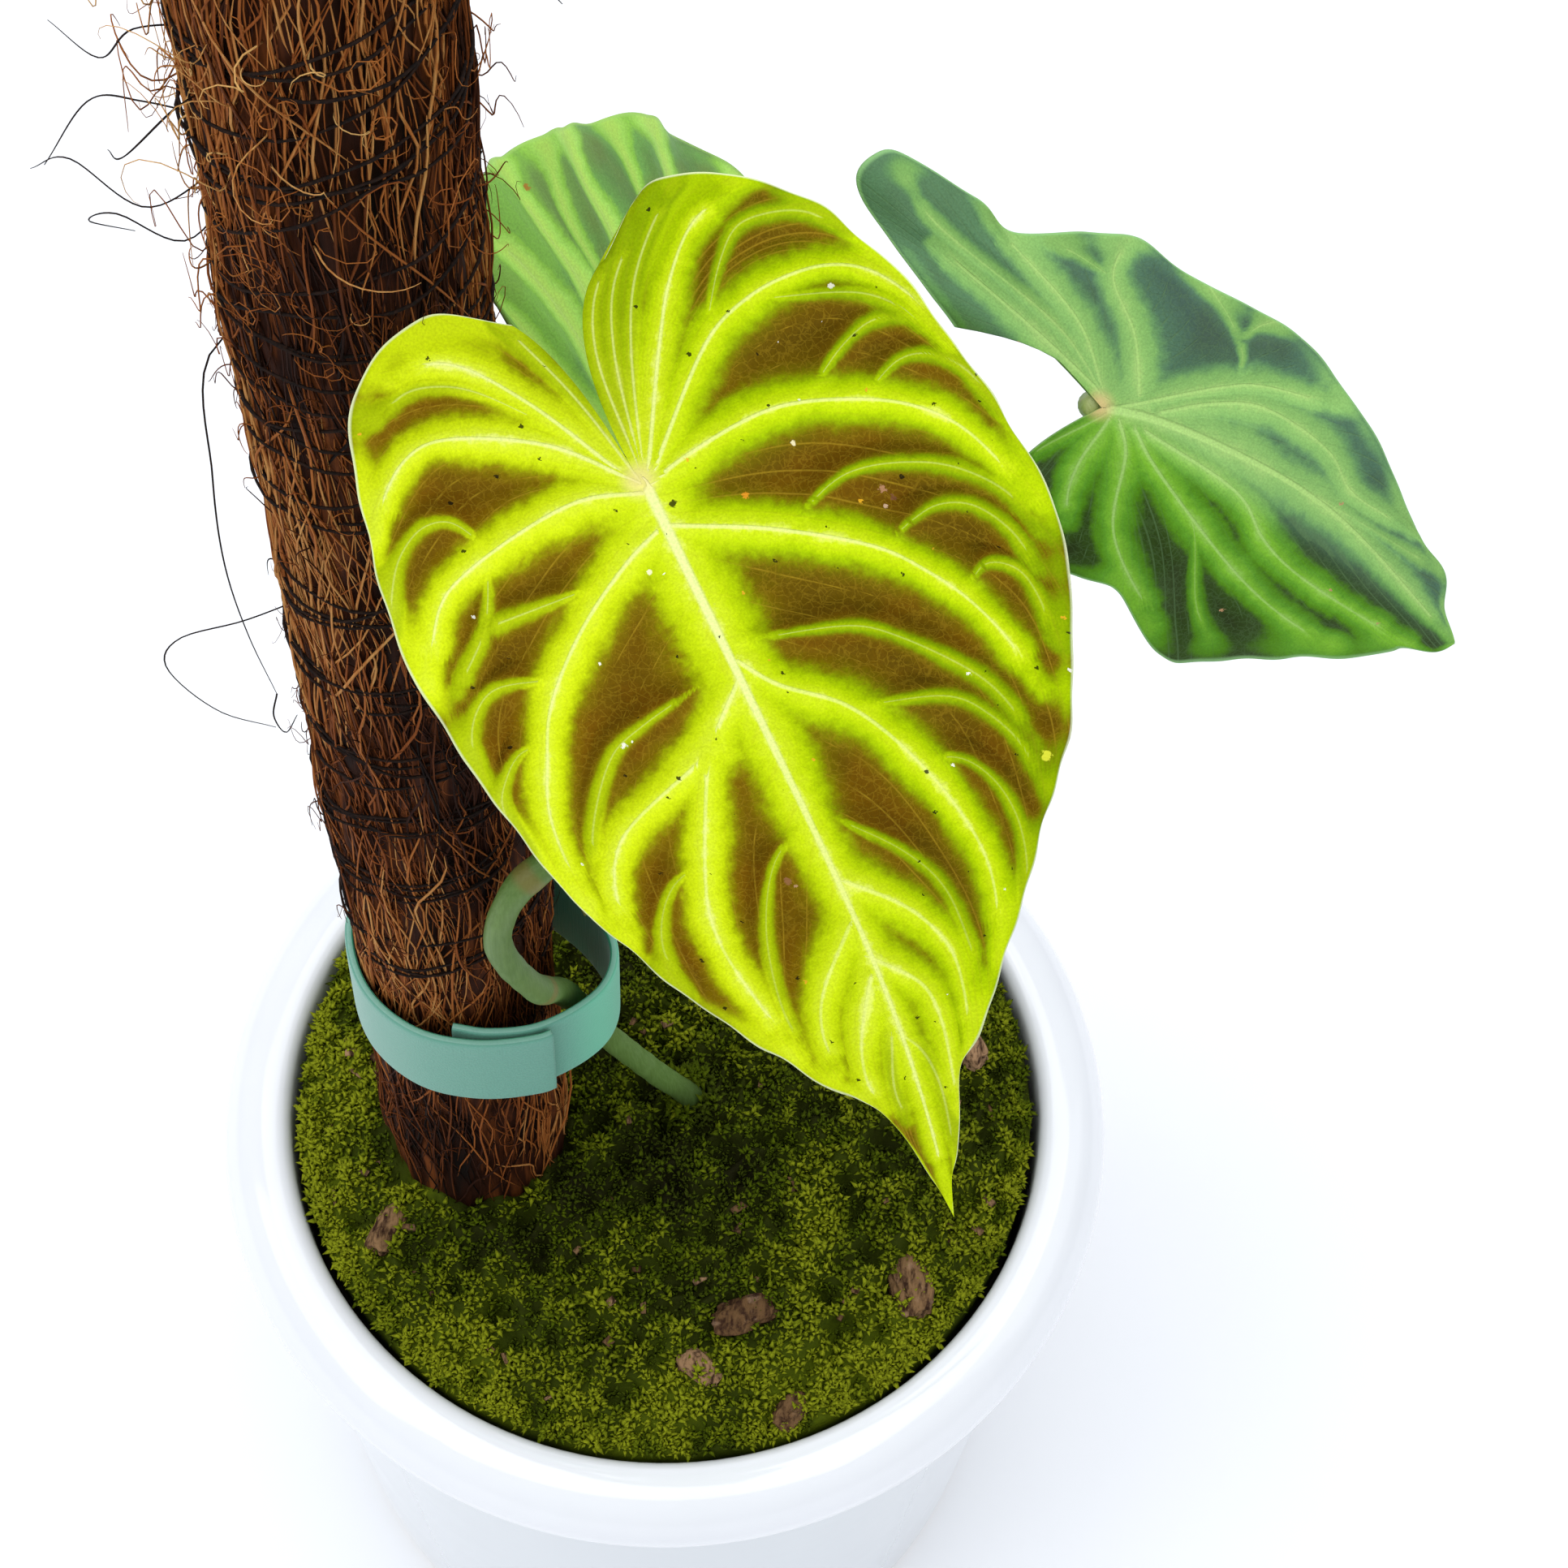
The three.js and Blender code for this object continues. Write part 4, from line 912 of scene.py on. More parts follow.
def build_petioles(sizes, colors):
    """Leaf stalks: bars from the stem through their own points, with a bend under the blade, that
    flare at both ends, each with bristles that lean towards its tip."""
    skin = stalk_finish(colors)
    bristle = grained("stalk_bristles", (150, 168, 92), (150, 88, 58), cell=500, turn=(0.4, 0.6), Roughness=0.6)
    steps, sides = 110, 16
    t = np.linspace(0, 1, steps + 1)
    radius = PETIOLE_RADIUS * (1 + (PETIOLE_COLLAR / PETIOLE_RADIUS - 1) * (1 - np.sin(math.pi * t) ** 0.5))
    top = np.append(np.repeat(ease(0.97, 0.995, t), sides), [0, 1])
    share = np.linspace(0, 1, 4)[None, :, None]
    for key, leaf in LEAVES.items():
        origin, along, _, up = leaf["seat"]
        neck = [origin - up * 10 + along * leaf["ahead"], origin - up * 4, origin - up * 1.1]
        line = through([*leaf["petiole"], *neck], steps)
        stalk = bars(line[None], radius[None], sides)
        new_piece(f"{key}_stalk", stalk, skin, [f"petiole_{key}"], {"top": top})
        rng = np.random.default_rng(80 + len(key))
        count = int(sizes.bristles * running(line)[-1] / 60)
        spot = rng.uniform(0.08, 0.94, count)
        at, on = (np.stack([np.interp(s, t, line[:, k]) for k in range(3)], 1) for s in (spot, spot + 0.01))
        ahead = unit(on - at + 1e-9)
        out = unit(np.cross(ahead, unit(rng.normal(size=(count, 3)))))
        length = rng.uniform(0.7, 1.9, count)[:, None, None]
        root = at + out * (np.interp(spot, t, radius) - 0.15)[:, None]
        lines = root[:, None] + out[:, None] * length * share + ahead[:, None] * length * 0.45 * share ** 2
        thick = np.full((count, 4), 0.085) * (1 - 0.85 * share[..., 0])
        new_piece(f"{key}_bristles", bars(lines, thick, 3), bristle)


def stalk_finish(colors):
    """Leaf stalk: mid green with reddish-brown flecks, waxy."""
    f = Finish("stalk_skin", Roughness=0.45)
    fleck = f.noise(f.place((1500, 1500, 500)), 1, 4)
    color = f.mix(f.span(fleck, 0.55, 0.72), colors.stem, (122, 84, 46))
    color = f.mix(f.times(f.mark("top"), 0.8), color, (176, 186, 116))
    return f.finish(color, None, f.bump(fleck, 0.0003, 0.5))


# ---------------------------------------------------------------- leaves

# A blade's halves, row by row along its veins: where a row starts on the midrib, then its control point
# and its end on the margin, each as distances out from the midrib and along it, in millimetres
FRONT_BLADE = {
    "length": 91.6, "bow": 2.4, "skew": 1.0,
    "right": [
        (0, -2.6, -20, 6, -24), (0, 0.5, -21, 11, -28), (0, 4.8, -21.5, 15.5, -29.5), (0, 12, -27, 24, -25.5),
        (0, 18, -31, 33.5, -14), (0, 25.5, -31.5, 38.8, 4.8), (0, 34.5, -4.2, 40.6, 22.5), (5, 38.7, 20.4, 30.5, 47),
        (23.5, 24.2, 42.2, 14.5, 67), (50, 14.7, 56, 9, 73.5), (61, 9.2, 66.5, 5.3, 79.5), (72, 5, 73.3, 3, 84),
        (91.6, 0, 91.6, 0, 91.6),
    ],
    "left": [
        (0, 1.8, -15.6, 6.2, -21.2), (0, 4.6, -15.4, 15, -25.6), (0, 7.8, -21.8, 25.8, -20), (0, 18.6, -21.4, 30.4, -4),
        (0, 20.7, -6.7, 31, 12.5), (5, 28.6, 16.6, 23.3, 43.3), (23.5, 18.7, 41.8, 9.5, 66.8),
        (50, 7.9, 60.5, 4.6, 73.2), (61, 4.5, 69.4, 1.9, 79), (72, 1, 76.6, 0.8, 84), (91.6, 0, 91.6, 0, 91.6),
    ],
}
SIDE_BLADE = {
    "length": 61, "bow": 4.8, "skew": 0.7,
    "right": [
        (0, 5, -7.5, -1.6, -21.7), (0, 4.5, -12, 3.4, -34.1), (0, 4.5, -15, 7.9, -42.3), (0, 5, -16, 12.9, -40),
        (0, 5, -13, 13.6, -28.5), (0, 8, -8, 12.4, -22), (0, 9.5, -5, 17.5, -14), (0, 11, -2.5, 20.6, -8),
        (0, 12, 2, 20.2, 3), (0, 11, 12, 21.5, 16), (2, 12.5, 14.5, 17, 30.5), (13, 11.5, 27.5, 9.5, 45),
        (30, 6.5, 42, 7, 52.5), (44, 3.5, 51, 2.8, 56), (61, 0, 61, 0, 61),
    ],
    "left": [
        (0, 6, -3.4, 12.5, -3.9), (0, 9, -3.6, 18.5, -4.2), (0, 10, -1, 22.3, -0.5), (0, 10.5, 3, 22.8, 5),
        (0, 10.5, 7.5, 21.3, 12), (0, 10, 11.5, 20.2, 18), (0, 11, 15.5, 24.3, 28), (3, 4, 17, 21.5, 34),
        (8, 4.5, 27, 8.2, 51.5), (16, 4, 33, 4.8, 55), (32, 2.5, 50.5, 2.6, 59.3), (61, 0, 61, 0, 61),
    ],
}
BACK_BLADE = {
    "length": 80, "bow": 2.4, "skew": 1.0,
    "right": [
        (0, -2, -18, 14, -37), (0, 8, -22, 20, -41), (0, 18, -22, 28, -39), (0, 24, -18, 36, -33),
        (0, 27, -15, 40.5, -28.5), (0, 31, -10, 50, -18.5), (0, 34, -3, 57, -8), (0, 36, 4, 59.3, 0.5),
        (0, 38, 10, 57.5, 9.5), (4, 40, 18, 50, 25), (18, 34, 32, 34, 46), (38, 18, 48, 16, 60),
        (52, 8, 60, 7, 70), (80, 0, 80, 0, 80),
    ],
    "left": [
        (0, 1, -5, 3.5, -9.5), (0, 5, -9, 11, -12), (0, 12, -9, 20.5, -8.5), (0, 20, -4, 32, 1), (0, 23, 6, 37, 12),
        (4, 24, 18, 33, 28), (18, 17, 34, 19, 45), (38, 7, 52, 9, 60), (52, 4, 62, 4.5, 70), (80, 0, 80, 0, 80),
    ],
}

# Veins drawn on a blade: kind, then points as distances out from the midrib line and along it
FRONT_VEINS = [
    ("m", (0.5, 1), (3, 58.5), (2, 76.5), (0, 91.5)),
    ("s", (0.5, -0.5), (1, -14.5), (3, -20), (6.5, -24)),
    ("s", (0.5, -0.5), (3, -14.5), (5.5, -20.5), (10, -25.5)),
    ("s", (0.5, -0.5), (5, -14.5), (8, -20.5), (12.5, -25.5), (16, -28)),
    ("p", (1, -0.5), (8, -13.5), (11.5, -19), (16, -23.5), (21.5, -25.5)),
    ("p", (1, 0), (13.5, -12), (18.5, -14), (22.5, -14.5), (27.5, -14), (31.5, -12), (35, -7.5), (37, -1.5)),
    ("t", (12, -11), (17.5, -19), (20.5, -21.5), (24, -21.5), (28, -20), (31.5, -16)),
    ("t", (18, -14), (30.5, -9.5), (34, -6), (36, -2)),
    ("p", (0.5, 0.5), (6, -1), (16.5, -2), (25, 0.5), (30.5, 3.5), (34.5, 7.5), (37, 12.5), (39, 18.5)),
    ("t", (20, -1.5), (26.5, -5.5), (30.5, -6.5), (34.5, -5), (37.5, -2), (38.5, 2.5)),
    ("t", (25.5, 1), (31.5, -1.5), (35, -0.5), (38, 3), (39, 8)),
    ("p", (0.5, 5), (11.5, 10), (21.5, 16.5), (25, 20.5), (28, 25), (30.5, 31), (32, 38)),
    ("t", (12.5, 10.5), (21, 7.5), (29, 9.5), (33.5, 12.5), (37, 17), (38, 21.5)),
    ("t", (21.5, 16.5), (25.5, 15), (29, 14.5), (32.5, 16), (35.5, 20.5), (36.5, 25.5)),
    ("t", (28, 24.5), (31.5, 22.5), (34.5, 24.5), (35.5, 29), (35, 33)),
    ("t", (2.5, 19.5), (15.5, 23), (19, 25.5), (26, 33.5), (28, 38), (29, 43.5)),
    ("p", (2, 21.5), (5, 25.5), (11.5, 31), (16.5, 40.5), (19, 51), (18.5, 57), (16, 64)),
    ("t", (11.5, 31), (22.5, 34.5), (25.5, 38), (27.5, 42.5), (28, 48)),
    ("t", (16, 39.5), (20.5, 41), (23, 44.5), (24, 49.5), (23, 55.5), (21, 59.5)),
    ("t", (4, 40.5), (11, 48.5), (13.5, 54), (13.5, 65)),
    ("p", (3.5, 49), (8, 53.5), (10, 56.5), (11.5, 61), (11, 66.5), (9.5, 72)),
    ("p", (3, 58.5), (7, 63.5), (7.5, 67.5), (5.5, 78.5)),
    ("s", (2.5, 68), (4, 70.5), (4.5, 75), (3, 84)),
    ("s", (0, -0.5), (-3, -11.5), (-7, -21.5)),
    ("p", (-0.5, 0), (-8, -13), (-13.5, -19.5), (-17, -21), (-20.5, -20.5)),
    ("t", (-6.5, -9.5), (-12.5, -16), (-15.5, -18), (-19.5, -19), (-24, -17.5)),
    ("p", (0, 0), (-8, -8), (-19, -13), (-22.5, -12.5), (-26, -10), (-29, -6)),
    ("p", (0, 1), (-7.5, -1), (-22, 1.5), (-25.5, 3.5), (-30, 10.5)),
    ("t", (-18, 0), (-21, -4.5), (-24, -5), (-27.5, -3), (-30, 0.5), (-31.5, 4)),
    ("t", (-18.5, 0.5), (-22, 7.5), (-27.5, 12.5)),
    ("t", (-10, 8), (-22, 7.5)),
    ("p", (0.5, 5), (-4.5, 7), (-12.5, 12), (-19, 18.5), (-21.5, 23.5), (-23.5, 28.5), (-24, 34.5), (-23.5, 40.5)),
    ("t", (-17, 15.5), (-24, 14), (-27, 16), (-28.5, 19), (-29, 22)),
    ("t", (-21, 21.5), (-24, 21.5), (-26.5, 23.5), (-28, 26), (-26.5, 34)),
    ("t", (-3, 22.5), (-10.5, 24), (-14.5, 25.5), (-20, 32.5), (-21.5, 37)),
    ("p", (-4, 29.5), (-16.5, 34), (-19, 36.5), (-20.5, 40.5), (-20.5, 45)),
    ("p", (1.5, 23.5), (-4.5, 29.5), (-6.5, 33), (-11.5, 45), (-12, 49.5), (-11.5, 54), (-9, 65)),
    ("t", (-10.5, 40.5), (-14, 41.5), (-16.5, 44), (-18, 47.5), (-18, 52.5)),
    ("t", (1.5, 41.5), (-2.5, 43.5), (-6.5, 50), (-8.5, 59.5), (-8, 65.5)),
    ("p", (2, 54), (-4, 60.5), (-5.5, 64.5), (-5.5, 69)),
    ("p", (2, 60.5), (-2, 67.5), (-3, 72), (-2.5, 75.5)),
    ("s", (1.5, 68), (-0.5, 74), (-0.5, 78)),
]
SIDE_VEINS = [
    ("m", (0.5, 1), (2, 5), (4, 15), (5, 32), (0, 60.5)),
    ("p", (1.5, -0.5), (3.5, -11.5), (6, -29.5)),
    ("s", (1.5, -0.5), (5.5, -10), (8.5, -32), (11, -37)),
    ("p", (1.5, -0.5), (7.5, -8.5), (12, -25)),
    ("p", (3.5, 3.5), (10, -1.5), (14.5, -8), (17, -9), (20, -9)),
    ("t", (14.5, -7.5), (14.5, -14.5), (14, -17)),
    ("p", (1, 1.5), (10.5, 11.5), (13, 15), (16.5, 25.5)),
    ("t", (12, 12.5), (15, 11.5), (17.5, 8.5), (21, 1.5)),
    ("t", (16.5, 10), (19.5, 11), (22, 13.5)),
    ("p", (3.5, 6.5), (8, 11.5), (11, 17), (11, 28.5), (8.5, 34), (8.5, 40.5), (9, 45.5)),
    ("t", (5, 21), (6.5, 51.5)),
    ("s", (0, 1), (-9, -3), (-11.5, -3.5)),
    ("p", (0, 1.5), (-7.5, 2), (-12, 3.5), (-15.5, 6)),
    ("p", (0, 2.5), (-3, 5.5), (-13.5, 11.5), (-21, 24.5)),
    ("p", (0, 5), (-2.5, 9), (-9.5, 29.5), (-10.5, 41.5), (-9.5, 46)),
    ("t", (-4, 15), (-7, 19), (-16, 27), (-18.5, 31.5)),
    ("p", (0.5, 6), (0, 21.5), (-3, 27), (-4.5, 33), (-4.5, 47), (-3.5, 55)),
]
BACK_VEINS = [
    ("m", (0.5, 1), (2.4, 40), (0, 79.5)),
    ("s", (0.3, -1), (5, -14), (10, -25), (14, -35)),
    ("p", (0.5, -0.5), (8, -11), (15.8, -21.3), (20.3, -30.9), (21.5, -38)),
    ("p", (1, 0), (13, -11), (23.4, -20.7), (28, -28), (32.5, -34)),
    ("p", (1, 0), (18, -8), (33, -14.5), (38.7, -20.3), (45, -24)),
    ("p", (1, 0.5), (25, -2), (42, -2), (50, -4.1), (57, -7.5)),
    ("p", (1, 1.5), (20, 5), (40, 6), (56, 10)),
    ("t", (24, -2), (34, -6), (44, -10), (52, -14)),
    ("t", (14, -12), (24, -16), (31, -23), (39, -28)),
    ("p", (1.5, 6), (20, 14), (36, 20), (49, 27)),
    ("p", (2, 20), (18, 30), (28, 38), (34, 46)),
    ("p", (2.4, 38), (12, 47), (17, 53), (18, 59)),
    ("p", (1.5, 54), (6, 62), (7, 69)),
]
# How far a vein's halo reaches at its start and end, and how its reach goes from one to the other
VEIN_REACH = {"m": (5.8, 1.2, 0.8), "p": (3.5, 1.9, 1.0), "s": (1.9, 1.4, 1.0), "t": (0.45, 1.6, 0.8)}
# How far the furrow along a twig reaches, in millimetres, and the groups of veins that a skin reads
TWIG_FURROW = 1.7
VEIN_GROUPS = {"midrib": "m", "main": "p", "second": "s", "twig": "t"}


def spline_rows(rows, position):
    """Rows of numbers read at fractional row positions: between two rows runs the cubic whose slope at
    each is half the difference of that row's neighbours."""
    rows = np.asarray(rows, float)
    last = len(rows) - 1
    ext = np.vstack([2 * rows[0] - rows[1], rows, 2 * rows[-1] - rows[-2]])
    k = np.clip(np.floor(position).astype(int), 0, last - 1)
    f = (position - k)[..., None]
    p0, p1, p2, p3 = ext[k], ext[k + 1], ext[k + 2], ext[k + 3]
    square = (2 * p0 - 5 * p1 + 4 * p2 - p3) * f ** 2
    cube = (3 * p1 - p0 - 3 * p2 + p3) * f ** 3
    return 0.5 * (2 * p1 + (p2 - p0) * f + square + cube)


def half_points(blade, rows, side, a, b):
    """Flat points of a half: a quadratic curve from the midrib, past its control point, to the margin,
    for vein number a and share b of the way out."""
    rows = np.asarray(rows, float)
    start = np.interp(a, np.arange(len(rows)), rows[:, 0])
    read = spline_rows(rows, a)
    middle = blade["bow"] * np.sin(math.pi * (start / blade["length"]) ** blade["skew"])
    m, c, e = (1 - b) ** 2, 2 * b * (1 - b), b * b
    u = m * middle + side * (c * read[..., 1] + e * read[..., 3])
    v = m * start + c * read[..., 2] + e * read[..., 4]
    return u, v


def seat(origin, tip, sideways):
    """Where a blade sits: its stalk point and its directions along, across and up."""
    origin, tip, sideways = (np.array(p, float) for p in (origin, tip, sideways))
    along = unit(tip - origin)
    across = unit(sideways - along * (sideways @ along))
    return origin, along, across, np.cross(along, across)


# For each leaf: outline, veins, slot, fine veins in a gap, form, seat, the stalk's own points and how far
# ahead its bend lies, and the mesh's spacing in millimetres with its number of columns
LEAVES = {
    "front": {
        "blade": FRONT_BLADE, "veins": FRONT_VEINS, "slot": "leaf_lime", "fine": 5,
        "form": {"arch": 4, "left": 8, "right": 5, "droop": 0.003, "puff": 1.5, "wave": 0.7, "phase": 0.6},
        "seat": seat((-0.2, -40.1, 387.8), (39.8, -99.6, 330.9), (0.894, 0.386, 0.226)),
        "petiole": [(-10.6, -18.2, 304), (-9.5, -25, 330), (-4, -31, 356)],
        "ahead": 0, "mesh": (0.43, 62),
    },
    "back": {
        "blade": BACK_BLADE, "veins": BACK_VEINS, "slot": "leaf_green", "fine": 5,
        "form": {"arch": 4, "left": 6, "right": 6, "droop": 0.003, "puff": 1.5, "wave": 1.2, "phase": 1.4},
        "seat": seat((1.4, -7.6, 336), (49.6, -2.2, 272.3), (0, 1, 0.09)),
        "petiole": [(-10, -19, 286), (-7.5, -8.5, 297), (-7.5, -6, 314)],
        "ahead": 0, "mesh": (0.55, 40),
    },
    "right": {
        "blade": SIDE_BLADE, "veins": SIDE_VEINS, "slot": "leaf_green", "fine": 4,
        "form": {"arch": 4, "left": -25, "right": 8, "droop": 0.003, "puff": 1.3, "wave": 0.8, "phase": 0.3},
        "seat": seat((54.8, 7.8, 341.4), (105.6, -3.8, 309.5), (0.467, 0.749, 0.47)),
        "petiole": [(-13, -22, 270), (8, -31, 274), (31, -27, 292), (48, 1, 310)],
        "ahead": 8, "mesh": (0.45, 44),
    },
}


def row_veins(blade, key, side):
    """Main veins of a half that shows to nobody in the photograph: one along each of its rows."""
    b = np.array([0.02, 0.3, 0.6, 0.93])
    rows = range(1, len(blade[key]) - 1)
    lines = [half_points(blade, blade[key], side, np.full(4, float(k)), b) for k in rows]
    return [("p", *zip(u.tolist(), v.tolist())) for u, v in lines]


# The photograph shows one half of the back blade only
BACK_VEINS += row_veins(BACK_BLADE, "left", -1)


# Length of a vein's steps in millimetres, and how many spots are measured at a time
VEIN_STEP = 0.6
BATCH = 4000


def vein_spread(spots, veins):
    """For each flat spot: the distance to the nearest of these veins as a share of that vein's halo,
    the sign of the side it lies on, the number of that vein, or that plus a half near its end and
    near the start of a twig, and the distance in millimetres. The nearest sample of the veins is
    found first, and the distance is then measured to the two stretches that meet there."""
    points, halo, first, final, number = [], [], [], [], []
    for kind, *corners in veins:
        start, end, power = VEIN_REACH[kind]
        steps = max(4, int(running(corners)[-1] / VEIN_STEP))
        at = sum(len(p) for p in points)
        t = np.linspace(0, 1, steps + 1)
        points.append(through(corners, steps))
        halo.append(start + (end - start) * t ** power)
        first.append(np.full(steps + 1, at))
        final.append(np.full(steps + 1, at + steps))
        number.append(len(number) + 0.5 * ((t > 0.92) | (t < (0.1 if kind == "t" else 0))))
    points, halo, first, final, number = map(np.concatenate, (points, halo, first, final, number))
    px, py, wide = (w.astype(np.float32) for w in (points[:, 0], points[:, 1], halo ** 2))
    flat = spots.astype(np.float32)
    near = np.zeros(len(spots), int)
    for at in range(0, len(spots), BATCH):
        part = flat[at:at + BATCH]
        near[at:at + BATCH] = (((part[:, :1] - px) ** 2 + (part[:, 1:] - py) ** 2) / wide).argmin(1)

    def stretch(p, q):
        """Distance of the spots from the stretch p to q, and the side they lie on."""
        run = q - p
        t = np.clip(((spots - p) * run).sum(1) / np.maximum((run ** 2).sum(1), 1e-9), 0, 1)
        off = spots - p - run * t[:, None]
        return np.linalg.norm(off, axis=1), np.sign(run[:, 0] * off[:, 1] - run[:, 1] * off[:, 0])

    back = stretch(points[np.maximum(near - 1, first[near])], points[near])
    front = stretch(points[near], points[np.minimum(near + 1, final[near])])
    distance = np.minimum(back[0], front[0])
    side = np.where(back[0] < front[0], back[1], front[1])
    return distance / halo[near], side, number[near], distance


def vein_marks(group, kinds, flat, veins, grids):
    """The two marks that a leaf's skin reads for one group of veins, and the distances they stand
    for. Where a whole cell of the mesh is nearest to one vein, the signed distance is marked, whose
    zero lies exactly on the vein; elsewhere, at a vein's end, and where the side changes far from
    the vein, as inside its bends, the plain distance is."""
    mine = [vein for vein in veins if vein[0] in kinds]
    if not mine:
        far = np.full(len(flat), 9.0)
        return {group + "_signed": far, group + "_plain": 0 * far}, far, far
    share, side, number, distance = vein_spread(flat, mine)
    plain = number % 1 > 0
    signed = side * share
    for grid in grids:
        cells = np.stack([grid[1:, 1:], grid[1:, :-1], grid[:-1, 1:], grid[:-1, :-1]])
        near, off = number[cells], signed[cells]
        torn = (off.min(0) < 0) & (off.max(0) > 0) & (np.abs(off).min(0) > 0.3)
        one = (near.min(0) == near.max(0)) & ~torn
        plain[cells[:, ~one].ravel()] = True
    faded = np.maximum(share, 0.3) + 0.25 * (number % 1 > 0)
    return {group + "_signed": np.where(plain, 0, signed), group + "_plain": np.where(plain, faded, 0)}, share, distance


def blade_lift(blade, form, u, v, a, b, quilt):
    """Height of the blade above its flat frame: an arched midrib, folded halves that droop towards
    the margin, the quilting between the veins, and a waved margin."""
    t = v / blade["length"]
    arch = form["arch"] * 4 * t * (1 - t) * np.where(t > 0, 1, 0.35)
    fold = np.radians(np.where(u < 0, form["left"], form["right"]))
    reach = np.abs(u)
    bent = reach ** 2 / (reach + HINGE)
    wave = form["wave"] * np.sin(math.pi * a + form["phase"]) * b ** 4
    taper = np.clip((1 - t) * 4, 0, 1)
    lift = arch + bent * np.sin(fold) - form["droop"] * reach ** 2 + (quilt + wave) * taper
    return u * np.cos(fold), v, lift


def blade_rows(blade, spacing):
    """Row positions of both halves: stations along the midrib that both share, and the fan of basal
    veins of each half, spaced so that neighbouring rows stay within the spacing at the margin."""
    def margin(key, a):
        """Flat points on the margin of a half, at row positions a."""
        return np.stack(half_points(blade, blade[key], 1, a, np.ones_like(a)), -1)

    def position(key, start):
        """Row positions of places along the midrib."""
        rows = np.asarray(blade[key], float)
        basal = int((rows[:, 0] == 0).sum()) - 1
        return np.interp(start, rows[basal:, 0], np.arange(basal, len(rows)))

    start = np.linspace(0, blade["length"], 3000)
    pace = np.diff(start)
    for key in ("right", "left"):
        edge = margin(key, position(key, start))
        pace = np.maximum(pace, np.linalg.norm(np.diff(edge, axis=0), axis=1))
    run = np.append(0, np.cumsum(pace))
    stations = np.interp(np.linspace(0, run[-1], int(run[-1] / spacing) + 1), run, start)
    rows = {}
    for key in ("right", "left"):
        basal = sum(1 for row in blade[key] if row[0] == 0) - 1
        a = np.linspace(0, basal, 2000)
        run = running(margin(key, a))
        fan = np.interp(np.linspace(0, run[-1], int(run[-1] / spacing) + 1)[:-1], run, a)
        rows[key] = (fan, position(key, stations))
    return stations, rows


# A leaf's flat places lie on a sheet of this side in millimetres, the stalk's end at this share of it
SHEET_SIDE = 140
SHEET_HOME = 0.45


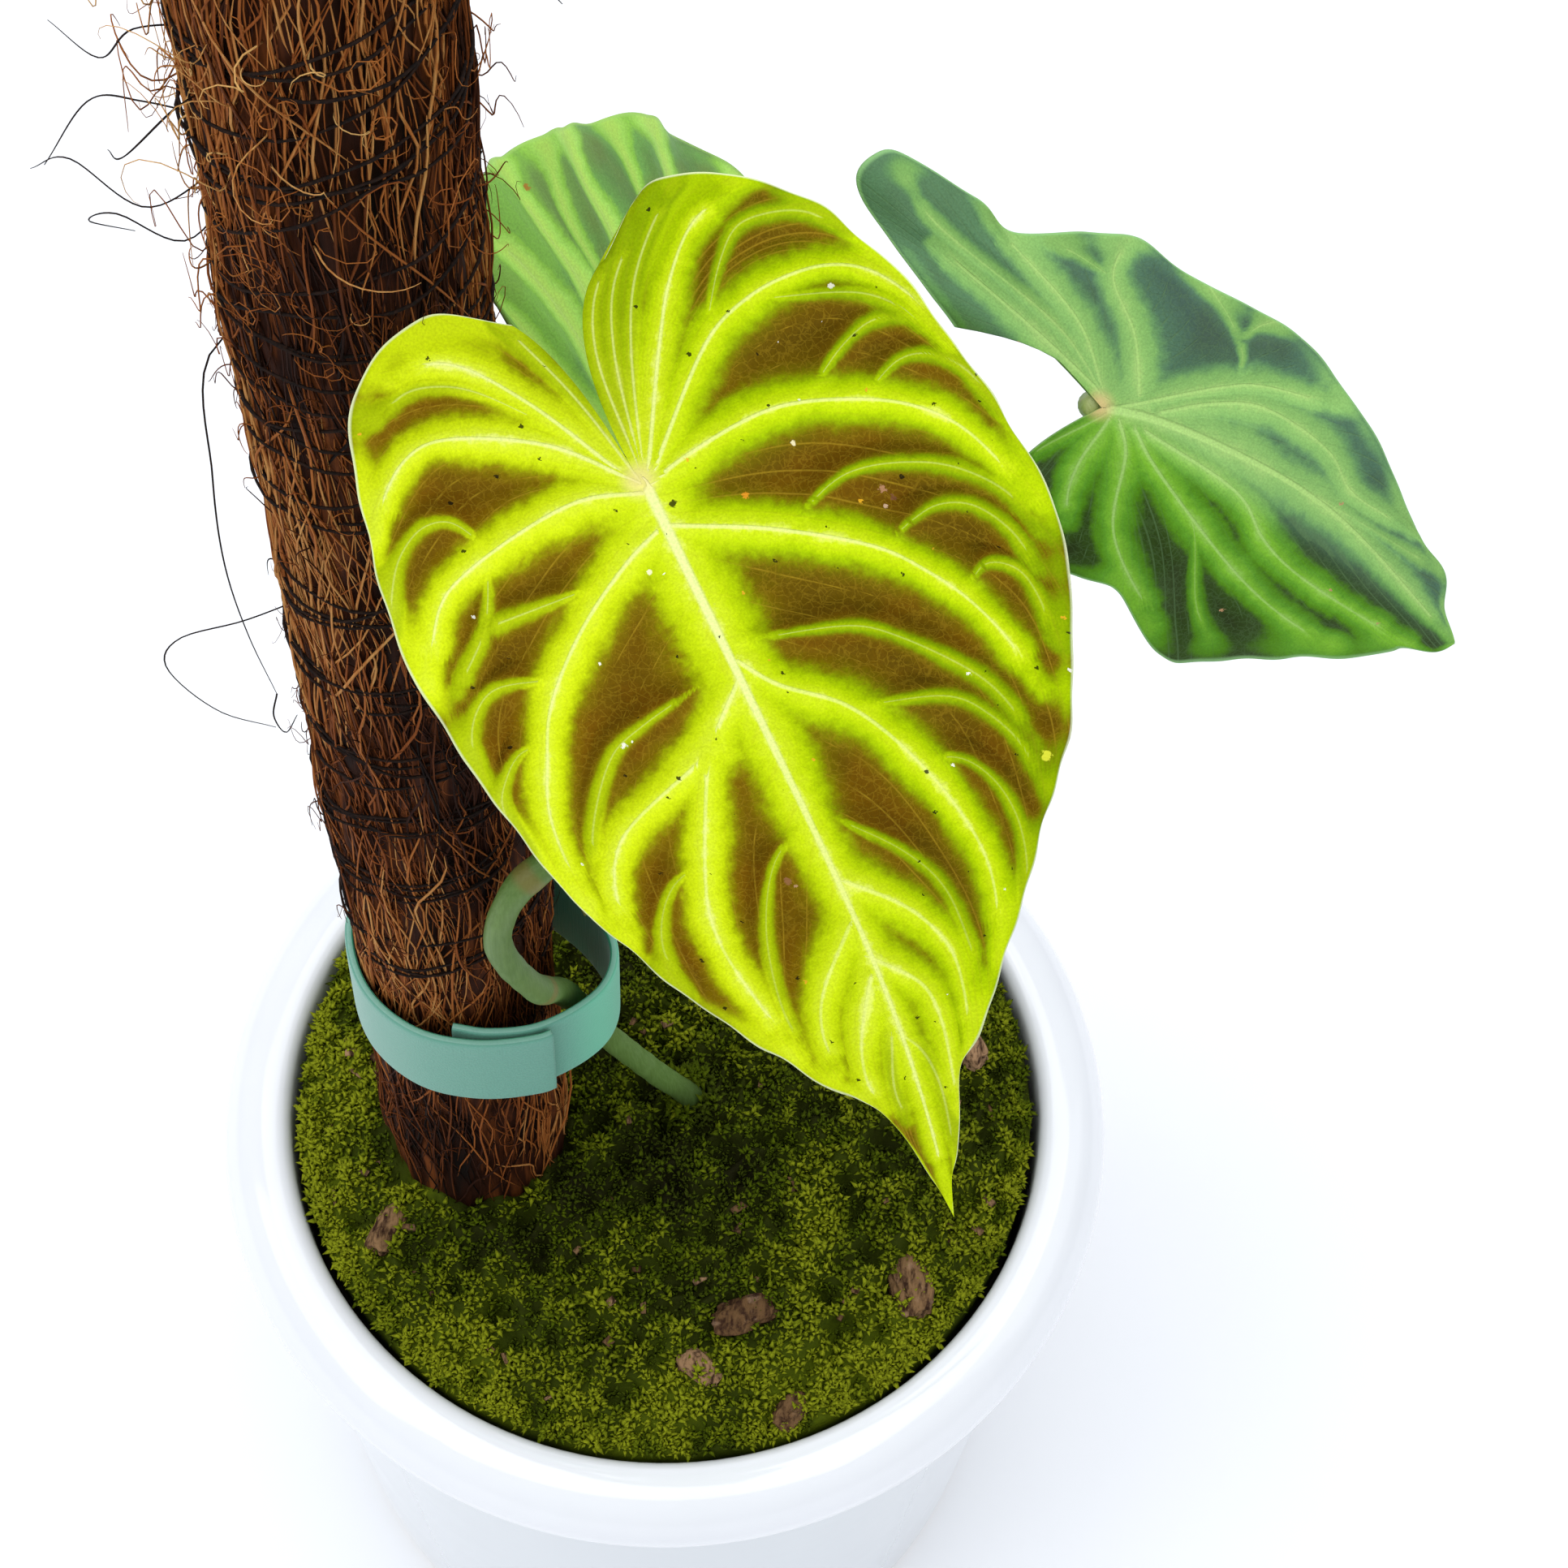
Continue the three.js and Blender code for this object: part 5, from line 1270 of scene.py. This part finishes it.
def build_leaf(key, finish):
    """A blade: both halves as grids of rows along the veins and columns from midrib to margin, an
    underside below it that is thinner towards the margin, and a narrow rim between the two."""
    leaf = LEAVES[key]
    blade, form, (spacing, columns) = leaf["blade"], leaf["form"], leaf["mesh"]
    origin, along, across, up = leaf["seat"]
    stations, rows = blade_rows(blade, spacing)
    share = np.linspace(0, 1, columns + 1) ** 1.25
    flat, order, out, grids = [], [], [], []

    def keep(u, v, a, b):
        """Adds flat points and returns their numbers."""
        at = sum(map(len, order))
        flat.append(np.stack([u.ravel(), v.ravel()], 1))
        order.append(a.ravel())
        out.append(b.ravel())
        return np.arange(at, at + u.size).reshape(u.shape)

    middle = blade["bow"] * np.sin(math.pi * (stations / blade["length"]) ** blade["skew"])
    spine = keep(middle, stations, np.zeros_like(stations), np.zeros_like(stations))
    for half, side in (("right", 1), ("left", -1)):
        fan, rest = rows[half]
        a = np.concatenate([fan, rest])[:, None] + 0 * share[1:]
        b = share[1:] + 0 * a
        u, v = half_points(blade, blade[half], side, a, b)
        ids = keep(u, v, a, b)
        first = np.concatenate([np.full(len(fan), spine[0]), spine])
        grid = np.hstack([first[:, None], ids])
        grid[-1] = spine[-1]
        grids.append(grid)
    flat, order, out = np.vstack(flat), np.concatenate(order), np.concatenate(out)
    used = np.unique(np.concatenate([grid.ravel() for grid in grids]))
    renumber = np.zeros(len(flat), int)
    renumber[used] = np.arange(len(used))
    flat, order, out = flat[used], order[used], out[used]
    flat = flat * (1 + 0.008 * ripple(np.pad(flat, ((0, 0), (0, 1))), 57, 16, 6) * out ** 8)[:, None]
    marks, spread, groove = {}, 9.0, 0.0
    grids = [renumber[grid] for grid in grids]
    halves = list(zip(grids, (False, True)))
    for group, kinds in VEIN_GROUPS.items():
        found, share, distance = vein_marks(group, kinds, flat, leaf["veins"], grids)
        marks.update(found)
        spread = np.minimum(spread, distance / TWIG_FURROW if group == "twig" else share)
        if group in ("midrib", "main"):
            groove = np.maximum(groove, np.exp(-(distance / 0.9) ** 2))
    quilt = form["puff"] * 1.15 * (1 - np.exp(-(spread / 1.4) ** 2)) * np.clip(1 - out ** 5, 0, 1)
    quilt -= 0.16 * groove + 0.15 * form["puff"]
    x, y, n = blade_lift(blade, form, flat[:, 0], flat[:, 1], order, out, quilt)
    top = origin + x[:, None] * across + y[:, None] * along + n[:, None] * up
    thick = 0.9 - 0.5 * out ** 6 - 0.25 * ease(0.9, 1, flat[:, 1] / blade["length"])
    keel = 0.45 * groove * (1 - out ** 3)
    sparse = np.unique(np.append(np.arange(0, columns + 1, 4), columns))
    faces = [grid_tris(grid, flip) for grid, flip in halves]
    lower = np.vstack([grid_tris(grid[:, sparse], not flip) for grid, flip in halves])
    below = np.unique(lower)
    under_id = np.full(len(top), -1)
    under_id[below] = len(top) + np.arange(len(below))
    under = top[below] - up * (thick + keel)[below][:, None]
    faces.append(under_id[lower])
    for grid, flip in halves:
        faces.append(wall_tris(grid[:, -1], under_id[grid[:, -1]], not flip))
        faces.append(sinus_tris(grid[0], under_id, sparse, not flip))
    marks.update(out=out, fine=fine_veins(blade, flat, order, out, leaf["fine"]))
    marks = {name: np.append(values, values[below]) for name, values in marks.items()}
    marks["under"] = np.append(np.zeros(len(top)), np.ones(len(below)))
    sheet = np.vstack([flat, flat[below]]) / SHEET_SIDE + SHEET_HOME
    shape = np.vstack([top, under]), (), np.vstack(faces)
    new_piece(f"{key}_blade", shape, finish, [f"leaf_blade_{key}"], marks, sheet)


def grid_tris(grid, flip):
    """Two triangles for each cell of a grid of point numbers, without those that have no area."""
    a, b, c, d = grid[:-1, :-1], grid[:-1, 1:], grid[1:, 1:], grid[1:, :-1]
    tris = np.concatenate([np.stack([a, b, c], -1).reshape(-1, 3), np.stack([a, c, d], -1).reshape(-1, 3)])
    full = (tris[:, 0] != tris[:, 1]) & (tris[:, 1] != tris[:, 2]) & (tris[:, 0] != tris[:, 2])
    tris = tris[full]
    return tris if flip else tris[:, ::-1]


def wall_tris(top, below, flip):
    """A strip of triangles between two rows of equally many points."""
    a, b, c, d = top[:-1], top[1:], below[1:], below[:-1]
    tris = np.concatenate([np.stack([a, b, c], 1), np.stack([a, c, d], 1)])
    return tris if flip else tris[:, ::-1]


def sinus_tris(row, under_id, sparse, flip):
    """A strip between the first row of a half and its underside, which has every fourth point."""
    low = sparse[np.searchsorted(sparse, np.arange(len(row) - 1), side="right") - 1]
    fans = np.stack([row[:-1], row[1:], under_id[row[low]]], 1)
    joins = np.stack([row[sparse[1:]], under_id[row[sparse[1:]]], under_id[row[sparse[:-1]]]], 1)
    tris = np.vstack([fans, joins])
    return tris if flip else tris[:, ::-1]


def fine_veins(blade, flat, order, out, lines):
    """Distance in millimetres to the nearest of the fine veins, which run at equal parts of the
    gap between two main veins: the part of a gap to it, times the local width of the gap."""
    step = 0.02
    gap = np.zeros(len(flat))
    for key, side in (("right", 1), ("left", -1)):
        mine = (flat[:, 0] >= 0) if side > 0 else (flat[:, 0] < 0)
        top = len(blade[key]) - 1
        a = np.clip(order[mine], 0, top - step)
        here = np.stack(half_points(blade, blade[key], side, a, out[mine]), -1)
        there = np.stack(half_points(blade, blade[key], side, a + step, out[mine]), -1)
        ahead = np.stack(half_points(blade, blade[key], side, a, out[mine] + 0.01), -1)
        direction = unit(ahead - here)
        across = there - here
        gap[mine] = np.abs(across[:, 0] * direction[:, 1] - across[:, 1] * direction[:, 0]) / step
    waver = order + 0.05 * np.sin(9 * out + 3 * order)
    part = np.abs(waver * lines - np.round(waver * lines)) / lines
    return part * gap


# For each group of veins: half the width of its pale line, outer and inner, as a share of its halo, how
# clear the line is, and how far the halo stays from the palest colour
VEIN_LOOK = {
    "midrib": (0.14, 0.06, 1.0, 0.0), "main": (0.10, 0.03, 0.6, 0.04),
    "second": (0.12, 0.04, 0.4, 0.12), "twig": (0.12, 0.03, 0.28, 0.24),
}


def leaf_finish(name, palette):
    """Leaf skin: colours read off by the distance from the veins as a share of their halo, pale vein
    lines, fine veins and their net, greener lobes and margin with a pale edge, partly its fine hairs and
    partly a painted highlight along the rim, specks, and a paler underside. A group's distance is the
    size of its signed mark plus its plain mark. Each row of a
    palette's specks is a seed, size, share of the cells and colour, and each row of its spots a place
    across and along, a size and a colour."""
    f = Finish(name, Specular_IOR_Level=palette["gloss"])
    flat = f.sheet((SHEET_SIDE, SHEET_SIDE, SHEET_SIDE))
    home = SHEET_SIDE * SHEET_HOME
    cloud, mottle, grain = f.noise(flat, 0.13, 3), f.noise(flat, 0.9, 4), f.noise(flat, 3.2, 3)
    split = f.node("SeparateXYZ", {0: f.moved(flat, (-home, -home, 0))})
    u, v = split.outputs["X"], split.outputs["Y"]
    reach = f.maths("ABSOLUTE", u)
    out = f.mark("out")
    spread, line, strong = None, None, None
    for group, (wide, narrow, strength, pale) in VEIN_LOOK.items():
        here = f.plus(f.maths("ABSOLUTE", f.mark(group + "_signed")), f.mark(group + "_plain"))
        mine = f.times(f.span(here, wide, narrow), strength)
        here = f.plus(here, pale)
        spread = here if spread is None else f.maths("SMOOTH_MIN", spread, here, 0.3)
        line = mine if line is None else f.most(line, mine)
        strong = spread if group in ("midrib", "main") else strong
    dull = f.span(f.maths("SUBTRACT", strong, spread), 0.1, 0.8, 0, palette["dull"])
    soft = f.plus(f.plus(spread, f.sway(mottle, 0.5)), f.sway(cloud, 0.9))
    soft = f.times(soft, f.span(out, 0.84, 0.97, 1.0, 0.42))
    lobe = f.span(f.maths("MULTIPLY_ADD", reach, 0.35, v), -14, -19)
    over = f.times(f.most(f.maths("SUBTRACT", soft, palette["lobe"]), 0.0), lobe)
    soft = f.maths("SUBTRACT", soft, over)
    share = f.maths("DIVIDE", soft, 2.4)
    # Each half reads its own palette; the front leaf's left one is brighter: painted light from the left
    half = f.span(u, -palette["turn"], palette["turn"])
    skin = f.mix(half, f.ramp(share, palette["left"]), f.ramp(share, palette["right"]))
    field = f.span(soft, 0.85, 1.4)
    warmth = f.times(f.span(f.noise(flat, 0.09, 2), 0.44, 0.62), field)
    skin = f.mix(f.times(warmth, 0.28), skin, palette["warm"])
    skin = f.mix(f.times(f.span(soft, 1.3, 0.7), dull), skin, palette["shade"], "MULTIPLY")
    # Fine veins and their net are clearest in the fields
    fine = f.span(f.mark("fine"), 0.16, 0.04)
    shifted = f.moved(flat, mottle)
    net = f.most(f.times(f.net(shifted, 1.05, 0.08, 0.02), 0.8), f.times(f.net(shifted, 0.42, 0.035, 0.01), 0.7))
    lines = f.most(f.times(fine, 0.75), f.times(net, 0.4))
    lines = f.times(lines, f.maths("MULTIPLY_ADD", field, 0.55, 0.14))
    skin = f.mix(lines, skin, palette["net"])
    base = f.away(flat, (home, home - 0.5, 0))
    line = f.times(line, f.span(base, 10, 55, 1, 0.5))
    skin = f.mix(line, skin, palette["vein"])
    skin = f.mix(0.4, skin, f.mix(f.span(grain, 0.3, 0.7), (196, 196, 196), (255, 255, 255)), "MULTIPLY")
    # Where the stalk joins, specks and flecks, and the pale edge: partly hairs, partly a painted highlight along the
    # rim
    skin = f.mix(f.span(base, 2.8, 0.4, 0, 0.7), skin, palette["base"])
    ragged, middle = f.moved(flat, f.noise(flat, 2.2, 2)), home + 0.5
    for seed, size, part, color in palette["specks"]:
        shift = f.moved(ragged, (seed, seed * 3, 0))
        dots = f.node("TexVoronoi", {"Vector": shift, "Scale": 0.19}, voronoi_dimensions="2D")
        pick = f.node("SeparateColor", {0: dots.outputs["Color"]})
        radius = f.maths("MULTIPLY_ADD", pick.outputs[1], size, size * 0.4)
        dot = f.maths("LESS_THAN", dots.outputs["Distance"], radius)
        chosen = f.maths("LESS_THAN", pick.outputs[0], part)
        skin = f.mix(f.times(f.times(dot, chosen), 0.9), skin, color)
    for across, ahead, size, color in palette["spots"]:
        away = f.away(ragged, (middle + across, middle + ahead, 0.5))
        skin = f.mix(f.span(away, size, size * 0.7, 0, 0.9), skin, color)
    # Pale edge: partly the margin's fine hairs, partly a painted highlight along the rim
    skin = f.mix(f.span(out, 0.984, 0.997, 0, 0.8), skin, palette["edge"])
    below = f.mix(line, f.ramp(share, palette["below"]), palette["below_vein"])
    color = f.mix(f.mark("under"), skin, below)
    relief = f.plus(f.times(f.most(lines, line), -0.7), f.times(grain, 0.4))
    roughness = f.span(mottle, 0.3, 0.7, 0.40, 0.55)
    return f.finish(color, roughness, f.bump(relief, 0.00022, 0.8))


def build_front_leaf(sizes, colors):
    """The large lime blade at the front, its left half painted brighter as if lit from the left."""
    # The left half's colours are brighter and yellower: painted light from the left
    left = [
        (0.0, (238, 249, 120)), (0.07, (222, 240, 52)), (0.20, (216, 236, 24)), (0.31, (200, 220, 10)),
        (0.40, (168, 182, 4)), (0.47, (140, 138, 4)), (0.55, (122, 104, 4)), (0.70, (108, 82, 4)),
        (1.0, (96, 70, 4)),
    ]
    right = [
        (0.0, (230, 245, 96)), (0.07, colors.lime), (0.20, (190, 220, 4)), (0.31, (164, 196, 0)),
        (0.40, (138, 158, 2)), (0.47, (124, 126, 2)), (0.55, (110, 98, 4)), (0.70, (102, 80, 4)),
        (1.0, (92, 70, 4)),
    ]
    palette = {
        "gloss": 0.025, "left": left, "right": right, "warm": (126, 74, 4), "vein": (240, 249, 160), "turn": 16,
        "net": (172, 142, 34), "base": (238, 220, 150), "edge": (236, 244, 200),
        "dull": 0.9, "shade": (206, 212, 140), "lobe": 0.66,
        "specks": [
            (0, 0.034, 0.42, (26, 22, 8)), (17, 0.03, 0.05, (240, 238, 226)), (31, 0.04, 0.04, (226, 170, 40)),
        ],
        "spots": [
            (24, 10.4, 0.5, (168, 124, 90)), (24.7, 11.6, 0.4, (116, 76, 48)), (23.6, 12.2, 0.28, (196, 164, 132)),
            (-2.3, 46.2, 0.45, (140, 98, 62)), (-1.7, 47, 0.25, (176, 140, 104)),
            (10, 5.3, 0.45, (228, 150, 40)), (29.6, 44.9, 0.7, (222, 224, 60)), (2.4, 3.2, 0.5, (26, 20, 8)),
            (27.4, -11.7, 0.36, (236, 234, 214)), (17, 2.1, 0.34, (236, 226, 180)),
            (-3, 8.9, 0.36, (240, 238, 190)), (-13.1, 25.1, 0.4, (240, 238, 226)),
        ],
        "below": [(0.0, (190, 214, 120)), (0.35, (158, 188, 84)), (0.55, (150, 128, 78)), (1.0, (140, 104, 70))],
        "below_vein": (214, 230, 160),
    }
    build_leaf("front", leaf_finish("lime_leaf", palette))


# What the two green leaves share
GREEN_LOOK = {"dull": 0.4, "shade": (210, 216, 200), "lobe": 1.15, "turn": 3}


def build_back_leaf(sizes, colors):
    """The mid green blade behind."""
    skin = [
        (0.0, (184, 222, 108)), (0.14, (188, 230, 104)), (0.28, (174, 226, 102)), (0.42, (146, 202, 78)),
        (0.56, (116, 168, 84)), (1.0, (104, 144, 76)),
    ]
    palette = {
        **GREEN_LOOK, "gloss": 0.08, "left": skin, "right": skin, "warm": (122, 112, 58), "vein": (196, 230, 124),
        "net": (128, 164, 90), "base": (216, 214, 160), "edge": (160, 204, 104),
        "specks": [(5, 0.04, 0.03, (190, 120, 50))],
        "spots": [(32.0, -29.9, 0.6, (170, 112, 48))],
        "below": [(0.0, (164, 196, 120)), (0.4, (132, 168, 96)), (1.0, (128, 112, 84))],
        "below_vein": (190, 212, 150),
    }
    build_leaf("back", leaf_finish("green_leaf", palette))


def build_right_leaf(sizes, colors):
    """The darker green blade at the right: greyish fields in one half and near-black ones in the other."""
    palette = {
        **GREEN_LOOK, "gloss": 0.06,
        "right": [
            (0.0, (172, 212, 122)), (0.12, (152, 200, 112)), (0.27, (138, 188, 106)), (0.40, (108, 154, 100)),
            (0.54, (86, 122, 96)), (1.0, (72, 98, 84)),
        ],
        "left": [
            (0.0, (158, 210, 92)), (0.12, (132, 194, 54)), (0.27, colors.leaf_green), (0.40, (86, 142, 24)),
            (0.54, (56, 82, 28)), (1.0, (44, 56, 22)),
        ],
        "warm": (74, 84, 60), "vein": (182, 222, 130), "net": (98, 130, 84),
        "base": (232, 190, 140), "edge": (150, 200, 130),
        "specks": [(9, 0.04, 0.05, (196, 150, 110))],
        "spots": [],
        "below": [(0.0, (160, 192, 124)), (0.4, (126, 162, 96)), (1.0, (120, 96, 84))],
        "below_vein": (186, 208, 150),
    }
    build_leaf("right", leaf_finish("deep_green_leaf", palette))


# ---------------------------------------------------------------- stage

# The photograph's camera: place in metres, its axes, and its focal length and picture side in pixels
CAMERA_PLACE = (0.017292, -0.253506, 0.698954)
CAMERA_RIGHT = (0.99809, 0.05366, 0.03055)
CAMERA_DOWN = (0.06175, -0.86744, -0.49376)
CAMERA_AHEAD = (0.0, 0.4947, -0.8691)
FOCAL_LENGTH = 4260
PICTURE_SIDE = 1932
SENSOR = 36.0

# Softboxes: name, place and size in metres, and power in watts, all aimed at the middle of the plant
SOFTBOXES = [
    ("top_softbox", (0.0, -0.1, 1.6), 1.8, 15.0), ("left_softbox", (-0.9, -0.2, 1.35), 1.1, 5.0),
    ("right_softbox", (1.1, 0.2, 1.2), 1.0, 1.5), ("back_softbox", (-0.2, 1.3, 0.9), 1.2, 1.5),
]
MIDDLE = (0, 0, 0.25)
FLOOR_HALF = 3.0
FLOOR_DROP = 0.0002


def build_stage(sizes, colors):
    """Pale floor, wide soft lights and the camera at the photograph's place and angle."""
    scene = bpy.context.scene
    mesh = bpy.data.meshes.new("pale_floor")
    signs = ((-1, -1), (1, -1), (1, 1), (-1, 1))
    mesh.from_pydata([(x * FLOOR_HALF, y * FLOOR_HALF, -FLOOR_DROP) for x, y in signs], [], [(0, 1, 2, 3)])
    floor = bpy.data.objects.new("pale_floor", mesh)
    f = Finish("pale_floor", Roughness=0.6, Specular_IOR_Level=0.2, Emission_Color=(255, 255, 255),
               Emission_Strength=0.05)
    mesh.materials.append(f.finish((250, 251, 253)))
    scene.collection.objects.link(floor)

    world = bpy.data.worlds.new("pale_room")
    world.use_nodes = True
    background = world.node_tree.nodes["Background"]
    background.inputs["Color"].default_value = tint(238, 243, 252)
    background.inputs["Strength"].default_value = 0.62
    scene.world = world
    scene.view_settings.view_transform = "Standard"
    scene.view_settings.look = "None"

    for name, place, size, power in SOFTBOXES:
        light = bpy.data.lights.new(name, "AREA")
        light.size = size
        light.energy = power
        lamp = bpy.data.objects.new(name, light)
        lamp.matrix_world = facing(place)
        scene.collection.objects.link(lamp)

    camera = bpy.data.cameras.new("photo_camera")
    camera.sensor_width = SENSOR
    camera.lens = FOCAL_LENGTH / PICTURE_SIDE * SENSOR
    camera.clip_start = 0.01
    camera.clip_end = 20.0
    eye = bpy.data.objects.new("photo_camera", camera)
    eye.matrix_world = standing(CAMERA_RIGHT, -np.array(CAMERA_DOWN), -np.array(CAMERA_AHEAD), CAMERA_PLACE)
    scene.collection.objects.link(eye)
    scene.camera = eye


def standing(*columns):
    """The placement whose columns are three directions and a place."""
    return Matrix(np.vstack([np.stack(columns, axis=1), [0, 0, 0, 1]]).tolist())


def facing(place):
    """A placement whose back points away from the middle of the plant."""
    place = np.array(place, float)
    z = unit(place - MIDDLE)
    x = unit(np.cross([0, 0, 1.0], z))
    return standing(x, np.cross(z, x), z, place)


# ---------------------------------------------------------------- add-on

def color_property(name, description, color):
    """A colour setting."""
    return FloatVectorProperty(name=name, description=description, default=tint(*color)[:3], size=3,
                               min=0, max=1, subtype="COLOR")


def count_property(name, description, default, least, most):
    """A setting for how many there are."""
    return IntProperty(name=name, description=description, default=default, min=least, max=most)


class PlantSizes(bpy.types.PropertyGroup):
    """Numbers that a user may change."""

    pot_sides: count_property("Pot sides", "Faces round the pot", 128, 32, 400)
    moss_shoots: count_property("Moss shoots", "Shoots strewn over the moss", 8800, 100, 14000)
    coir_strands: count_property("Coir strands", "Strands lying on the pole", 3400, 100, 3700)
    coir_curls: count_property("Coir curls", "Loose curly fibres on the pole", 950, 10, 1800)
    twine_strands: count_property("Twine strands", "Strands of twine round the pole", 4, 1, 6)
    twine_radius: FloatProperty(name="Twine radius", description="Half the twine's thickness", default=0.00022,
                                min=0.0001, max=0.0008, subtype="DISTANCE", unit="LENGTH", precision=5)
    bristles: count_property("Bristles", "Bristles on 60 mm of leaf stalk", 420, 0, 1500)


class PlantColors(bpy.types.PropertyGroup):
    """Colours that a user may change."""

    glaze: color_property("Glaze", "White of the pot", (244, 246, 249))
    moss: color_property("Moss", "Usual green of the moss", (80, 96, 6))
    moss_tip: color_property("Moss tips", "Brightest tips of the moss", (146, 154, 28))
    bark: color_property("Bark", "Usual brown of the bark chips", (140, 108, 74))
    coir: color_property("Coir", "Usual brown of the coir", (134, 72, 30))
    coir_gold: color_property("Golden coir", "Palest coir fibres", (218, 172, 104))
    wood: color_property("Stake", "Wood of the stake", (178, 140, 94))
    twine: color_property("Twine", "Black of the twine", (24, 19, 17))
    tie: color_property("Strap", "Mint face of the strap", (103, 170, 148))
    tie_inside: color_property("Strap inside", "Deeper green inside the strap", (36, 146, 108))
    stem: color_property("Stem", "Green of stem and stalks", (88, 120, 52))
    lime: color_property("Lime leaf", "Halo of the veins on the front leaf", (208, 232, 24))
    leaf_green: color_property("Green leaf", "Main green of the right leaf", (100, 164, 42))


def run(builder, context):
    """Builds one group of pieces with the scene's settings."""
    builder(context.scene.plant_sizes, context.scene.plant_colors)
    return {"FINISHED"}


class PLANT_OT_stage(bpy.types.Operator):
    """Adds the floor, the lights and the camera"""

    bl_idname = "plant.stage"
    bl_label = "Stage"

    def execute(self, context):
        return run(build_stage, context)


class PLANT_OT_pot(bpy.types.Operator):
    """Builds the glazed pot"""

    bl_idname = "plant.pot"
    bl_label = "Pot"

    def execute(self, context):
        return run(build_pot, context)


class PLANT_OT_soil(bpy.types.Operator):
    """Gives the potting soil its crumbly brown"""

    bl_idname = "plant.soil"
    bl_label = "Potting soil"

    def execute(self, context):
        return run(finish_soil, context)


class PLANT_OT_moss(bpy.types.Operator):
    """Builds the moss bed and its shoots"""

    bl_idname = "plant.moss"
    bl_label = "Moss"

    def execute(self, context):
        return run(build_moss, context)


class PLANT_OT_chips(bpy.types.Operator):
    """Builds the bark chips and crumbs"""

    bl_idname = "plant.chips"
    bl_label = "Bark"

    def execute(self, context):
        return run(build_chips, context)


class PLANT_OT_stake(bpy.types.Operator):
    """Builds the wooden stake"""

    bl_idname = "plant.stake"
    bl_label = "Stake"

    def execute(self, context):
        return run(build_stake, context)


class PLANT_OT_sleeve(bpy.types.Operator):
    """Builds the coir sleeve"""

    bl_idname = "plant.sleeve"
    bl_label = "Coir sleeve"

    def execute(self, context):
        return run(build_sleeve, context)


class PLANT_OT_strands(bpy.types.Operator):
    """Lays strands of coir on the sleeve"""

    bl_idname = "plant.strands"
    bl_label = "Coir strands"

    def execute(self, context):
        return run(build_strands, context)


class PLANT_OT_curls(bpy.types.Operator):
    """Adds loose curly coir"""

    bl_idname = "plant.curls"
    bl_label = "Coir curls"

    def execute(self, context):
        return run(build_curls, context)


class PLANT_OT_wiry_hairs(bpy.types.Operator):
    """Adds single dark hairs beside the pole"""

    bl_idname = "plant.wiry_hairs"
    bl_label = "Wiry hairs"

    def execute(self, context):
        return run(build_wiry_hairs, context)


class PLANT_OT_twine(bpy.types.Operator):
    """Winds the black twine"""

    bl_idname = "plant.twine"
    bl_label = "Twine"

    def execute(self, context):
        return run(build_twine, context)


class PLANT_OT_tie(bpy.types.Operator):
    """Builds the mint strap"""

    bl_idname = "plant.tie"
    bl_label = "Strap"

    def execute(self, context):
        return run(build_tie, context)


class PLANT_OT_stem(bpy.types.Operator):
    """Builds the climbing stem and its aerial root"""

    bl_idname = "plant.stem"
    bl_label = "Stem"

    def execute(self, context):
        return run(build_stem, context)


class PLANT_OT_stalks(bpy.types.Operator):
    """Builds the bristly leaf stalks"""

    bl_idname = "plant.stalks"
    bl_label = "Leaf stalks"

    def execute(self, context):
        return run(build_petioles, context)


class PLANT_OT_front_leaf(bpy.types.Operator):
    """Builds the lime leaf"""

    bl_idname = "plant.front_leaf"
    bl_label = "Front leaf"

    def execute(self, context):
        return run(build_front_leaf, context)


class PLANT_OT_back_leaf(bpy.types.Operator):
    """Builds the leaf behind"""

    bl_idname = "plant.back_leaf"
    bl_label = "Back leaf"

    def execute(self, context):
        return run(build_back_leaf, context)


class PLANT_OT_right_leaf(bpy.types.Operator):
    """Builds the leaf at the right"""

    bl_idname = "plant.right_leaf"
    bl_label = "Right leaf"

    def execute(self, context):
        return run(build_right_leaf, context)


OPERATORS = [
    PLANT_OT_stage, PLANT_OT_pot, PLANT_OT_soil, PLANT_OT_moss, PLANT_OT_chips, PLANT_OT_stake,
    PLANT_OT_sleeve, PLANT_OT_strands, PLANT_OT_curls, PLANT_OT_wiry_hairs, PLANT_OT_twine, PLANT_OT_tie,
    PLANT_OT_stem, PLANT_OT_stalks, PLANT_OT_front_leaf, PLANT_OT_back_leaf, PLANT_OT_right_leaf,
]


class PLANT_PT_panel(bpy.types.Panel):
    """Lists the plant's settings and its pieces."""

    bl_label = "Potted plant"
    bl_space_type = "VIEW_3D"
    bl_region_type = "UI"
    bl_category = "Plant"

    def draw(self, context):
        """Shows every setting and one button for each operator."""
        for group in (context.scene.plant_sizes, context.scene.plant_colors):
            box = self.layout.box()
            for key in group.__annotations__:
                box.prop(group, key)
        for operator in OPERATORS:
            self.layout.operator(operator.bl_idname)


CLASSES = [PlantSizes, PlantColors, *OPERATORS, PLANT_PT_panel]


def register():
    """Adds the classes and the scene's settings."""
    for each in CLASSES:
        bpy.utils.register_class(each)
    bpy.types.Scene.plant_sizes = PointerProperty(type=PlantSizes)
    bpy.types.Scene.plant_colors = PointerProperty(type=PlantColors)


def unregister():
    """Takes the settings and the classes away again."""
    del bpy.types.Scene.plant_colors
    del bpy.types.Scene.plant_sizes
    for each in reversed(CLASSES):
        bpy.utils.unregister_class(each)


def main():
    """Registers the add-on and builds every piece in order."""
    register()
    for operator in OPERATORS:
        getattr(bpy.ops.plant, operator.bl_idname.split(".")[1])()
    bpy.context.view_layer.update()


if __name__ == "__main__":
    main()
